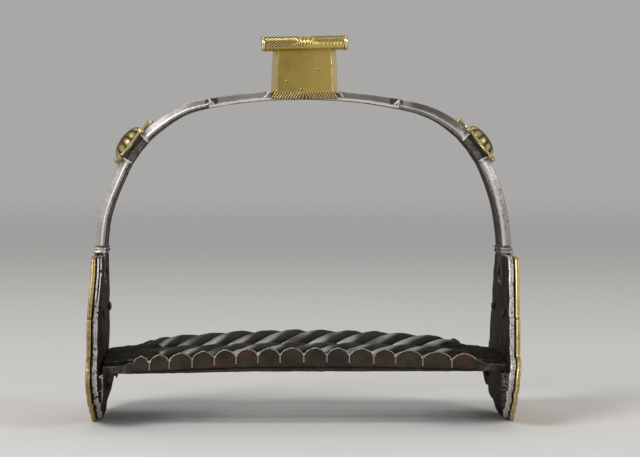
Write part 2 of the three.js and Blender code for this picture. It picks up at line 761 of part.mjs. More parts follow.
// A gadrooned dome in a ring of pointed petals with knobs, made round its own Z axis
function makeRosette() {
  const bore = rosetteRivetR + gap;
  const profile = [
    [bore, 0],
    [rosetteRimR - 0.3, 0],
    [rosetteRimR, rosetteRimHeight * 0.5],
    [rosetteRimR - 0.3, rosetteRimHeight],
    [rosetteRimR - 0.7, rosetteRimHeight + 0.2],
  ];
  const domeR = rosetteRimR - 0.7;
  const domeRise = domeHeight - rosetteRimHeight - 0.2;
  for (const turn of [25, 48, 68]) {
    profile.push([domeR * Math.cos(rad(turn)), rosetteRimHeight + 0.2 + domeRise * Math.sin(rad(turn))]);
  }
  profile.push([bore, domeHeight], [bore, 0]);
  const points = profile.map(([r, z]) => new THREE.Vector2(r, z));
  const dome = shaped(new THREE.LatheGeometry(points, gadroons * 2).rotateX(Math.PI / 2), (p) => {
    const out = Math.hypot(p.x, p.y);
    if (p.z < rosetteRimHeight + 0.1 || out < bore + 0.5) return;
    const angle = Math.atan2(p.y, p.x);
    const fade = smooth(out, bore, domeR);
    const swell = gadroonDepth * fade * (Math.abs(Math.sin((gadroons * angle) / 2)) - 0.5);
    p.z += swell * 1.4;
    p.x += (p.x / out) * swell;
    p.y += (p.y / out) * swell;
  });
  const petals = [];
  for (let i = 0; i < petalCount; i++) {
    const turn = (i / petalCount) * 2 * Math.PI;
    const pointsAcross = Math.abs(Math.cos(turn)) < 0.1; // no petal stands out past the bow's front and back
    if (pointsAcross) continue;
    const leaf = polygon([
      [rosetteRimR - 1.5, -petalHalfWidth],
      [petalReach - petalKnobR, -0.35],
      [petalReach - petalKnobR, 0.35],
      [rosetteRimR - 1.5, petalHalfWidth],
    ]);
    const knob = new THREE.IcosahedronGeometry(petalKnobR, 0);
    petals.push(pushed(leaf, petalThick).translate(0, 0, 0.1).rotateZ(turn));
    petals.push(knob.translate(petalReach - petalKnobR, 0, petalKnobR * 0.9).rotateZ(turn));
  }
  return join(dome, ...petals);
}

// The rivet of a rosette: a button on the dome, a shank through the bow and a low peened end inside
function makeRosetteRivet() {
  const innerEnd = -(seatRise + armThick + gap);
  const button = domeHeight + 2 * gap;
  const profile = [
    [0, innerEnd - 0.5],
    [rosetteButtonR * 0.6, innerEnd - 0.4],
    [rosetteButtonR * 0.85, innerEnd],
    [rosetteRivetR, innerEnd],
    [rosetteRivetR, button],
    [rosetteButtonR, button],
    [rosetteButtonR * 0.8, button + rosetteButtonRise * 0.6],
    [rosetteButtonR * 0.4, button + rosetteButtonRise * 0.9],
    [0, button + rosetteButtonRise],
  ].map(([r, z]) => new THREE.Vector2(r, z));
  const lathe = new THREE.LatheGeometry(profile, 12).rotateX(Math.PI / 2);
  return geometryOf(solidOf(lathe));
}

const model = new THREE.Group();

function addPiece(name, geometry, material, place = [0, 0, 0], parent = model) {
  const mesh = new THREE.Mesh(geometry, material);
  mesh.name = name;
  mesh.position.set(...place);
  parent.add(mesh);
  return mesh;
}

addPiece('bow', makeBow(), steel);

// What stands on the crown
const head = new THREE.Group();
head.position.z = bowTopZ;
model.add(head);
addPiece('strap_loop', makeLoop(), darkSteel, [0, 0, 0], head);
addPiece('strap_bar', makeStrapBar(), darkSteel, [0, 0, 0], head);
addPiece('head_plate', makeHeadPlate(), brass, [0, 0, 0], head);
addPiece('head_roll', makeRoll(), brass, [0, rollCentreY, headTopRise + gap + rollRadius], head);

// Each side is built on the right. The left is the same, turned half round
for (const [side, turn] of [['right', 0], ['left', Math.PI]]) {
  const group = new THREE.Group();
  group.rotation.z = turn;
  model.add(group);
  addPiece(`ferrule_${side}`, makeFerrule(), steel, [0, 0, 0], group);
  addPiece(`side_plate_${side}`, makeSidePlate(), darkSteel, [0, 0, 0], group);
  addPiece(`overlay_${side}`, makeOverlay(), brass, [0, 0, 0], group);
  addPiece(`tread_end_${side}`, makeTreadEnd(), iron, [0, 0, 0], group);
  rivetPlaces.forEach(([y, z], i) => {
    const onLobe = z < lobePadTopZ;
    const padAt = onLobe ? lobePad * smooth(z + rivetHeadR, -2, lobePadTopZ) : 0;
    addPiece(`overlay_rivet_${side}_${i + 1}`, makeRivet(plateInnerX - padAt), darkSteel, [0, y, z], group);
  });
  const seated = new THREE.Group();
  seated.position.copy(seat.point).addScaledVector(seat.outward, seatRise);
  seated.rotation.y = rad(seatTurn);
  group.add(seated);
  addPiece(`rosette_${side}`, makeRosette(), brass, [0, 0, gap], seated);
  addPiece(`rosette_rivet_${side}`, makeRosetteRivet(), brass, [0, 0, 0], seated);
}

for (const [side, sign] of [['right', 1], ['left', -1]]) {
  headPinRises.forEach((z, i) => {
    const pin = makeHeadPin(z);
    if (sign < 0) pin.rotateZ(Math.PI);
    const x = sign * (loopHalfWidth - cheekThick);
    addPiece(`head_pin_${side}_${i + 1}`, pin, brass, [x, headPinY, z], head);
  });
}

// The tread between the side plates
addPiece('tread_rail_front', makeRail(), iron);
addPiece('tread_rail_rear', makeRail(), iron).rotation.z = Math.PI;
addPiece('twist_middle', makeTwist(middleRadius, middleTopZ, middleArch), iron);
addPiece('twist_front', makeTwist(sideRadius, sideTopZ, sideArch), iron, [0, -sideY, 0]);
addPiece('twist_rear', makeTwist(sideRadius, sideTopZ, sideArch), iron, [0, sideY, 0]);

export default model;
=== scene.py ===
from math import atan2, copysign, cos, exp, hypot, pi, radians, sin

import bmesh
import bpy
import numpy as np
from mathutils import Matrix, Vector, kdtree, noise


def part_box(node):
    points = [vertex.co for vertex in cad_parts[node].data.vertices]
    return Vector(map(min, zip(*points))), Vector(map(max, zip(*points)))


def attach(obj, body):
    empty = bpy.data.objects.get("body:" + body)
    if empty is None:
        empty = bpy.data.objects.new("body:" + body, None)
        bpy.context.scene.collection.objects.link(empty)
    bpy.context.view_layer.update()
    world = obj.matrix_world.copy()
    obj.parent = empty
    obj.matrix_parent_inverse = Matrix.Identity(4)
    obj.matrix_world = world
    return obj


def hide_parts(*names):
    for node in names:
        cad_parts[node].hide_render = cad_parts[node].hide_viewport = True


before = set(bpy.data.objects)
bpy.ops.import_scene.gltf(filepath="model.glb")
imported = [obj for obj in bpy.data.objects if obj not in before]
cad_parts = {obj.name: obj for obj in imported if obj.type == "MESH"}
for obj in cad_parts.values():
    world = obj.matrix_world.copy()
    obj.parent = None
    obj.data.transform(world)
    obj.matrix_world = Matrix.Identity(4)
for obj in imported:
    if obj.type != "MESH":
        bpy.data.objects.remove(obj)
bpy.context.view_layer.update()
mm = 0.001
bpy.context.scene.view_settings.view_transform = "Standard"


def addToScene(made):
    bpy.context.scene.collection.objects.link(made)


# Camera, as the photograph was taken: low, a little left of the middle, with a long lens

cameraSetup = {
    "place": (-22.4, -748.8, 103.1),  # mm
    "yaw": 2.155,  # degrees to the right
    "pitch": 2.807,  # degrees down
    "roll": 0.16,
    "lens": 121.0, "sensor": 36,  # mm
}


def makeCamera(setup):
    data = bpy.data.cameras.new("camera")
    data.lens = setup["lens"]
    data.sensor_width = setup["sensor"]
    data.clip_start = 0.01
    data.clip_end = 20
    camera = bpy.data.objects.new("camera", data)
    addToScene(camera)
    turn = Matrix.Rotation(radians(-setup["yaw"]), 3, "Z")
    tilt = Matrix.Rotation(radians(90 - setup["pitch"]), 3, "X")
    lean = Matrix.Rotation(radians(setup["roll"]), 3, "Z")
    camera.rotation_euler = (turn @ tilt @ lean).to_euler()
    camera.location = Vector(setup["place"]) * mm
    bpy.context.scene.camera = camera


makeCamera(cameraSetup)
print("camera placed")

# Shader maths as plain expressions


class Wire:
    def __init__(self, finish, socket):
        self.finish = finish
        self.socket = socket

    def maths(self, operation, a, b=None):
        inputs = {0: a} if b is None else {0: a, 1: b}
        return self.finish.node("ShaderNodeMath", {"operation": operation}, inputs)

    def __add__(self, other):
        return self.maths("ADD", self, other)

    def __radd__(self, other):
        return self.maths("ADD", other, self)

    def __sub__(self, other):
        return self.maths("SUBTRACT", self, other)

    def __rsub__(self, other):
        return self.maths("SUBTRACT", other, self)

    def __mul__(self, other):
        return self.maths("MULTIPLY", self, other)

    def __rmul__(self, other):
        return self.maths("MULTIPLY", other, self)

    def __abs__(self):
        return self.maths("ABSOLUTE", self)

    def most(self, other):
        return self.maths("MAXIMUM", self, other)


class Finish:
    def __init__(self, name):
        self.material = bpy.data.materials.new(name)
        self.material.use_nodes = True
        self.tree = self.material.node_tree
        self.shader = self.tree.nodes["Principled BSDF"]
        self.place = self.node("ShaderNodeTexCoord", output="Object")

    # Any node: its settings first, then the values or links of its sockets
    def node(self, kind, settings=None, inputs=None, output=0):
        made = self.tree.nodes.new(kind)
        for key, value in (settings or {}).items():
            setattr(made, key, value)
        for key, value in (inputs or {}).items():
            self.feed(made.inputs[key], value)
        return Wire(self, made.outputs[output])

    def feed(self, socket, value):
        if isinstance(value, Wire):
            self.tree.links.new(value.socket, socket)
        else:
            socket.default_value = value

    # Sizes of noise and cells are in mm
    def noise(self, size, detail=3.0, rough=0.5, stretch=None):
        place = self.place
        if stretch:
            place = self.node("ShaderNodeMapping", {}, {"Vector": place, "Scale": stretch})
        inputs = {"Vector": place, "Scale": 1 / (size * mm), "Detail": detail, "Roughness": rough}
        return self.node("ShaderNodeTexNoise", {}, inputs)

    def cells(self, size):
        inputs = {"Vector": self.place, "Scale": 1 / (size * mm)}
        return self.node("ShaderNodeTexVoronoi", {}, inputs, "Distance")

    def axis(self, letter):
        return self.node("ShaderNodeSeparateXYZ", {}, {0: self.place}, letter)

    # 1 on the right half of the stirrup and 0 on the left
    def onRight(self):
        return self.step(self.axis("X"), -1 * mm, 1 * mm)

    def attribute(self, name):
        return self.node("ShaderNodeAttribute", {"attribute_name": name}, output="Fac")

    # How far the surface turns towards a direction, from -1 to 1
    def facing(self, direction):
        normal = self.node("ShaderNodeNewGeometry", output="Normal")
        settings = {"operation": "DOT_PRODUCT"}
        return self.node("ShaderNodeVectorMath", settings, {0: normal, 1: direction}, "Value")

    # 0 below low, 1 above high and smooth between
    def step(self, value, low, high):
        inputs = {"Value": value, "From Min": low, "From Max": high}
        return self.node("ShaderNodeMapRange", {"interpolation_type": "SMOOTHSTEP"}, inputs)

    # 1 near a value and 0 beyond a width from it
    def band(self, value, middle, width):
        return self.step(abs(value - middle), width, width * 0.35)

    def mix(self, factor, a, b):
        a = a if isinstance(a, Wire) else (*a, 1)
        b = b if isinstance(b, Wire) else (*b, 1)
        return self.node("ShaderNodeMix", {"data_type": "RGBA"}, {0: factor, 6: a, 7: b}, 2)

    # Lays colours over a first one, each through its mask
    def cover(self, colour, layers):
        for mask, tone in layers:
            colour = self.mix(mask, colour, tone)
        return colour

    def bump(self, height, depth):
        return self.node("ShaderNodeBump", {}, {"Height": height, "Distance": depth * mm})

    def surface(self, colour, **sockets):
        self.feed(self.shader.inputs["Base Color"], colour)
        for name, value in sockets.items():
            title = name.replace("_", " ").title().replace("Ior", "IOR")
            self.feed(self.shader.inputs[title], value)
        return self.material


# Modelling tools. A rule takes a place in mm, and with it a normal or the value so far


def ease(value, low, high):
    share = min(max((value - low) / (high - low), 0.0), 1.0)
    return share * share * (3 - 2 * share)


def leave():
    if bpy.context.object and bpy.context.object.mode == "EDIT":
        bpy.ops.object.mode_set(mode="OBJECT")


# Makes a piece the only chosen one, in object mode
def choose(piece):
    leave()
    bpy.ops.object.select_all(action="DESELECT")
    piece.select_set(True)
    bpy.context.view_layer.objects.active = piece


def pickAll():
    bpy.ops.mesh.select_all(action="SELECT")


def pickNone():
    bpy.ops.mesh.select_all(action="DESELECT")


# Opens a piece for editing, with all of it picked
def edit(piece, kind="VERT"):
    choose(piece)
    bpy.ops.object.mode_set(mode="EDIT")
    bpy.ops.mesh.select_mode(type=kind)
    pickAll()


# Turns all faces outwards and closes the piece again
def closeUp():
    pickAll()
    bpy.ops.mesh.normals_make_consistent(inside=False)
    leave()


# A new piece from one of the basic shapes
def addShape(add, name, **settings):
    bpy.ops.object.select_all(action="DESELECT")
    add(**settings)
    bpy.context.object.name = name
    return bpy.context.object


def extrude(x, y, z):
    bpy.ops.mesh.extrude_region_move(TRANSFORM_OT_translate={"value": (x, y, z)})


# Picks the points of an open piece by a rule
def pickPoints(piece, rule):
    pickNone()
    bpy.ops.mesh.select_mode(type="VERT")
    mesh = bmesh.from_edit_mesh(piece.data)
    for point in mesh.verts:
        if rule(point.co / mm):
            point.select_set(True)
    mesh.select_flush_mode()
    bmesh.update_edit_mesh(piece.data)


def setMaterials(piece, *materials):
    piece.data.materials.clear()
    for material in materials:
        piece.data.materials.append(material)


def modify(piece, kind, **settings):
    choose(piece)
    modifier = piece.modifiers.new(kind.lower(), kind)
    for key, value in settings.items():
        setattr(modifier, key, value)
    bpy.ops.object.modifier_apply(modifier=modifier.name)


# A copy of a CAD node with its loose triangles merged and its flat faces made whole
def copyNode(node, name):
    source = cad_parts[node]
    piece = bpy.data.objects.new(name, source.data.copy())
    setMaterials(piece)
    addToScene(piece)
    edit(piece)
    bpy.ops.mesh.remove_doubles(threshold=0.005 * mm)
    bpy.ops.mesh.customdata_custom_splitnormals_clear()
    bpy.ops.mesh.dissolve_limited(angle_limit=radians(0.5))
    leave()
    return piece


# Raises or sinks the surface along its normals by a rule that gives millimetres
def relief(piece, rule):
    heights = [rule(v.co / mm, v.normal) for v in piece.data.vertices]
    low, high = min(heights), max(heights)
    modify(piece, "DISPLACE", mid_level=0.0, strength=low * mm)
    group = piece.vertex_groups.new(name="relief")
    for i, height in enumerate(heights):
        group.add([i], (height - low) / (high - low), "REPLACE")
    modify(piece, "DISPLACE", vertex_group="relief", mid_level=0.0, strength=(high - low) * mm)
    piece.vertex_groups.clear()


# Moves each point by a rule that gives millimetres
def shift(piece, rule):
    for v in piece.data.vertices:
        v.co += rule(v.co / mm) * mm


def writeAttribute(piece, name, values):
    layer = piece.data.attributes.new(name, "FLOAT", "POINT")
    layer.data.foreach_set("value", values)


# Writes an attribute for the materials by a rule
def measure(piece, name, rule):
    writeAttribute(piece, name, [rule(v.co / mm) for v in piece.data.vertices])


# Changes one of the attributes of wear, grime and painted light by a rule that also takes the value so far
def repaint(piece, name, rule):
    layer = piece.data.attributes[name]
    for v in piece.data.vertices:
        point = layer.data[v.index]
        point.value = min(max(rule(v.co / mm, point.value), 0.0), 1.0)


# Writes two attributes for the materials: how far each point stands out from its surroundings
# or sinks behind them, on a scale from the piece's common points to its most marked ones
# The finishes paint the first as edge wear with painted highlights, and the second as grime with painted
# shade in the hollows
def markWearAndLight(piece, passes=2, common=75, marked=98.5):
    mesh = piece.data
    count = len(mesh.vertices)
    places, normals = np.empty(count * 3), np.empty(count * 3)
    mesh.vertices.foreach_get("co", places)
    mesh.vertices.foreach_get("normal", normals)
    places, normals = places.reshape(-1, 3), normals.reshape(-1, 3)
    ends = np.empty(len(mesh.edges) * 2, dtype=int)
    mesh.edges.foreach_get("vertices", ends)
    a, b = ends.reshape(-1, 2).T
    degree = np.bincount(np.r_[a, b], minlength=count).clip(1)
    middle = places
    for _ in range(passes):
        total = np.zeros((count, 3))
        np.add.at(total, a, middle[b])
        np.add.at(total, b, middle[a])
        middle = total / degree[:, None]
    standing = ((places - middle) * normals).sum(axis=1)
    for name, values in (("worn", standing), ("sunkAndShaded", -standing)):
        low, high = np.percentile(values, (common, marked))
        writeAttribute(piece, name, ((values - low) / (high - low)).clip(0, 1).astype(np.float32))


# Rounds every edge sharper than a turn in degrees. The roundings and slivers are marked as worn, and a
# border inside every other face lets the wear fade out
def softenEdges(piece, width, turn):
    fade = 0.15 * mm
    setMaterials(piece, None, None)
    piece.data.polygons.foreach_set("material_index", [0] * len(piece.data.polygons))
    edit(piece, "EDGE")
    pickNone()
    bpy.ops.mesh.edges_select_sharp(sharpness=radians(turn))
    bpy.ops.mesh.bevel(offset=width * mm, segments=2, material=1)
    pickNone()
    bpy.ops.mesh.select_mode(type="FACE")
    mesh = bmesh.from_edit_mesh(piece.data)
    for face in mesh.faces:
        narrow = 2 * face.calc_area() / face.calc_perimeter() < 2.2 * fade
        if face.material_index == 0 and not narrow:
            face.select_set(True)
        else:
            face.material_index = 1
    bmesh.update_edit_mesh(piece.data)
    bpy.ops.mesh.inset(thickness=fade, use_individual=True, use_even_offset=False)
    mesh = bmesh.from_edit_mesh(piece.data)
    rounded = [float(any(face.material_index == 1 for face in v.link_faces)) for v in mesh.verts]
    for face in mesh.faces:
        face.material_index = 0
    bmesh.update_edit_mesh(piece.data)
    leave()
    writeAttribute(piece, "worn", rounded)
    writeAttribute(piece, "sunkAndShaded", [0.0] * len(rounded))


# Joins pieces into the first of them
def joinPieces(pieces):
    choose(pieces[0])
    for piece in pieces:
        piece.select_set(True)
    bpy.ops.object.join()
    return pieces[0]


# Evens the shape out into small even faces, as forged metal is
def forge(piece, size, smooth=0):
    modify(piece, "REMESH", mode="VOXEL", voxel_size=size * mm)
    if smooth:
        modify(piece, "SMOOTH", factor=0.5, iterations=smooth)


def grain(place, size, seed=0.0):
    return noise.noise(Vector(place) / size + Vector((seed, seed * 1.7, -seed)))


# Hammer marks: the height of the lumps and of the finer grain on them
def hammered(place, form, seed, fineSeed):
    lump = grain(place, form["lumpSize"], seed) * form["lump"]
    return lump + grain(place, form["fineSize"], fineSeed) * form["fine"]


def finishPiece(piece, material, nodes, angle=0):
    choose(piece)
    bpy.ops.object.transform_apply()
    if angle:
        bpy.ops.object.shade_smooth_by_angle(angle=radians(angle))
    else:
        bpy.ops.object.shade_smooth()
    setMaterials(piece, material)
    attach(piece, "root")
    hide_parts(*nodes)
    return piece


# Floor and backdrop: a pale floor that runs into a pale backdrop without an edge, and soft lamps

stageForm = {
    "floor": 12,  # m
    "fade": (0.5, 2.4),  # m from the middle, where the floor runs into the backdrop
    "shades": ((0.66, 0.65, 0.635), (0.69, 0.68, 0.665)), "backdrop": (0.40, 0.393, 0.388),
    "aim": (0, 0, 0.06),
}
lamps = {  # places and sizes in m
    "keyLamp": {"place": (-0.62, -0.62, 0.72), "size": (0.45, 0.45), "power": 6.6},
    "fillLamp": {"place": (0.8, -0.45, 0.5), "size": (0.4, 0.4), "power": 3.0},
    "topLamp": {"place": (0.0, 0.35, 0.9), "size": (0.6, 0.4), "power": 1.1},
}


def makeStage(form):
    f = Finish("paleFloor")
    far = f.node("ShaderNodeVectorMath", {"operation": "LENGTH"}, {0: f.place}, "Value")
    fade = f.step(far, *form["fade"])
    shade = f.mix(f.noise(14, 4), *form["shades"])
    black = (0, 0, 0)
    f.surface(
        colour=f.mix(fade, shade, black),
        emission_color=f.mix(fade, black, form["backdrop"]),
        emission_strength=1.0,
        specular_ior_level=0.0,
        roughness=0.9,
    )
    floor = addShape(bpy.ops.mesh.primitive_plane_add, "floor", size=form["floor"])
    floor.data.materials.append(f.material)

    world = bpy.data.worlds.new("studio")
    bpy.context.scene.world = world
    world.use_nodes = True
    background = world.node_tree.nodes["Background"]
    background.inputs["Color"].default_value = (*form["backdrop"], 1)
    background.inputs["Strength"].default_value = 1.0


def addLamp(name, setup, aim):
    data = bpy.data.lights.new(name, "AREA")
    data.shape = "RECTANGLE"
    data.size, data.size_y = setup["size"]
    data.energy = setup["power"]
    lamp = bpy.data.objects.new(name, data)
    addToScene(lamp)
    lamp.location = setup["place"]
    lamp.rotation_euler = (Vector(aim) - Vector(setup["place"])).to_track_quat("-Z", "Y").to_euler()


makeStage(stageForm)
for name, setup in lamps.items():
    addLamp(name, setup, stageForm["aim"])
print("stage and lamps placed")

# Finishes. Each reads the attributes of wear, grime and painted light that the pieces carry


def darker(colour, share):
    return tuple(c * share for c in colour)


def steelFinish(name, light, dark, rust, mask=None):
    f = Finish(name)
    patches = f.step(f.noise(9, 4, 0.6), 0.35, 0.7)
    streaks = f.noise(1.6, 3, 0.6, (1, 1, 0.35))
    pits = f.step(f.cells(0.85), 0.34, 0.1) * f.step(f.noise(4.5, 2), 0.46, 0.62)
    fine = f.noise(0.35, 3, 0.7)
    worn = f.attribute("worn") * f.step(f.noise(1.7, 3), 0.3, 0.55)
    layers = [
        (patches * 0.6 + streaks * 0.3, dark),
        (f.step(f.noise(13, 3), 0.56, 0.72) * 0.5, rust),
        (pits * 0.75, darker(dark, 0.25)),
        # Grime and painted shade darken the hollows; edge wear and painted highlights lighten what stands
        # out
        (f.step(f.attribute("sunkAndShaded"), 0.15, 0.8), darker(dark, 0.3)),
        (f.step(worn, 0.15, 0.8) * 0.85, (0.80, 0.77, 0.72)),
    ]
    if mask:
        layers.append((mask(f) * 0.95, darker(dark, 0.1)))
    roughness = 0.36 + fine * 0.16 + pits * 0.25 - worn * 0.1
    lumps = f.noise(2.2, 3, 0.55) * 0.5 + fine * 0.22 - pits * 0.9
    return f.surface(f.cover(light, layers), roughness=roughness, metallic=1.0, normal=f.bump(lumps, 0.12))


# A set of marks is a rule that gives masks with the colours they bring
def brassFinish(name, light, dark, grimeAndShade, shine, rough, dents=0.04, side=0.0, speckled=0.6, marks=None):
    f = Finish(name)
    patches = f.step(f.noise(7, 4, 0.6), 0.3, 0.72)
    scuffs = f.noise(0.9, 4, 0.7, (1, 1, 0.4))
    worn = f.attribute("worn")
    specks = f.step(f.cells(1.1), 0.22, 0.08) * f.step(f.noise(3, 2), 0.5, 0.66) * speckled
    layers = [(patches, dark)]
    # Painted light: a lighter copy of the brass towards the right
    if side:
        litToRight = f.step(f.axis("X"), -9 * mm, 10 * mm) * side
        layers.append((litToRight, tuple(min(c * 1.5 + 0.03, 1) for c in light)))
    layers += [
        # Specks of grime, grime with painted shade in the hollows, and edge wear with painted highlights
        (specks, grimeAndShade),
        (f.step(f.attribute("sunkAndShaded"), 0.05, 0.7) * 0.9, grimeAndShade),
        (f.step(worn, 0.15, 0.9) * 0.75, shine),
    ]
    if marks:
        layers += marks(f)
    roughness = rough + scuffs * 0.1 + specks * 0.3 - worn * 0.06
    height = f.noise(3.5, 2, 0.5) * 0.7 + scuffs * 0.06 - specks * 0.4
    return f.surface(f.cover(light, layers), roughness=roughness, metallic=1.0, normal=f.bump(height, dents))


def ironFinish(name, light, dark, rust, sheen, rim=None, gloss=0.3, metal=0.25):
    f = Finish(name)
    patches = f.step(f.noise(6, 4, 0.6), 0.32, 0.7)
    scale = f.noise(0.8, 4, 0.7)
    bareAndLit = f.attribute("worn")
    layers = [
        (patches, dark),
        (f.step(f.noise(8, 3, 0.6, (1, 1, 1.4)), 0.5, 0.68) * 0.7, rust),
        # Grime and painted shade in the hollows
        (f.step(f.attribute("sunkAndShaded"), 0.1, 0.8), darker(dark, 0.3)),
    ]
    if rim:
        bright, pad = rim(f)
        layers.append((pad, (0.16, 0.155, 0.14)))
        bareAndLit = (bareAndLit * 0.35 * f.step(f.noise(1.4, 3), 0.28, 0.5)).most(bright)
    # Bare metal and painted highlights take the sheen colour
    layers.append((f.step(bareAndLit, 0.1, 1.0) * 0.92, sheen))
    height = f.noise(1.9, 3, 0.6) * 0.6 + scale * 0.3
    return f.surface(
        f.cover(light, layers),
        roughness=0.55 + scale * 0.22 - bareAndLit * 0.22,
        metallic=metal + bareAndLit * (0.9 - metal),
        specular_ior_level=gloss,
        normal=f.bump(height, 0.14),
    )


# Lines and edges across a side plate lie at shares of its thickness from its inner face
rimMarks = {
    "lines": ((0.2, 0.2, 1.0), (0.72, 0.22, 0.85)),  # middle, width and strength
    "linesFrom": (41, 46),  # mm up
    "gleam": (0.1, 0.16),
    "dent": {"left": 1.3, "right": 0.45},  # mm
}


# The bare edge of a side plate: a broad band, or two thin lines high on the left plate, broken by dents. The
# inner face is speckled beside it
def plateRim(f):
    across, right = f.attribute("across"), f.onRight()
    facing = f.step(abs(f.facing((1, 0, 0))), 0.75, 0.5)
    low, high = rimMarks["linesFrom"]
    lined = f.step(f.axis("Z"), low * mm, high * mm) * (1 - right)
    first, second = (f.band(across, middle, width) * much for middle, width, much in rimMarks["lines"])
    wavy = across + f.noise(5, 2) * 0.5 - 0.25
    broad = f.step(wavy, -0.1, 0.08) * f.step(wavy - right * 0.3, 1.0, 0.6)
    broad = broad * (0.72 + f.band(across, *rimMarks["gleam"]) * 0.28)
    dents = f.step(f.noise(rimMarks["dent"]["left"], 3, 0.7), 0.34, 0.46) * (1 - right)
    dents = f.step(f.noise(rimMarks["dent"]["right"], 3, 0.7), 0.34, 0.5) * right + dents
    bright = (first.most(second) * lined + broad * (1 - lined)) * dents * (0.75 + right * 0.25)
    bright = bright * f.step(across, -0.06, 0.02) * facing
    under = (1 - f.step(across, -0.1, 0.0)) * facing
    edge = under * f.step(f.attribute("worn"), 0.3, 0.8) * (1 - right) * 0.6
    pad = under * (0.12 + right * 0.75) * f.step(f.noise(0.7, 3, 0.7), 0.45, 0.6)
    return bright.most(edge), pad


# Where the marks of the bow lie: mm along it from its middle, and for the ridges shares of its thickness
bowMarks = {
    "crownEnd": 33.5, "seat": 66.04, "seatHalf": 4.6,
    "grimeAndShade": (10.5, 6.5),  # reach of the painted shadow round a rosette
    "stop": 32.2, "ridge": (0.41, 0.085),
    "rightRidge": 0.12,  # the ridge of the right arm is that much nearer its inner face
    "shadedLengths": ((47, (13, 8), 1.0), (-37, (9, 1), 0.7)),  # painted shade on the outer facet: middle, outer and inner reach, strength
    "rightFoot": (88, 70),  # mm up, between which the right arm gets painted shade on its inner side and is pitted
}


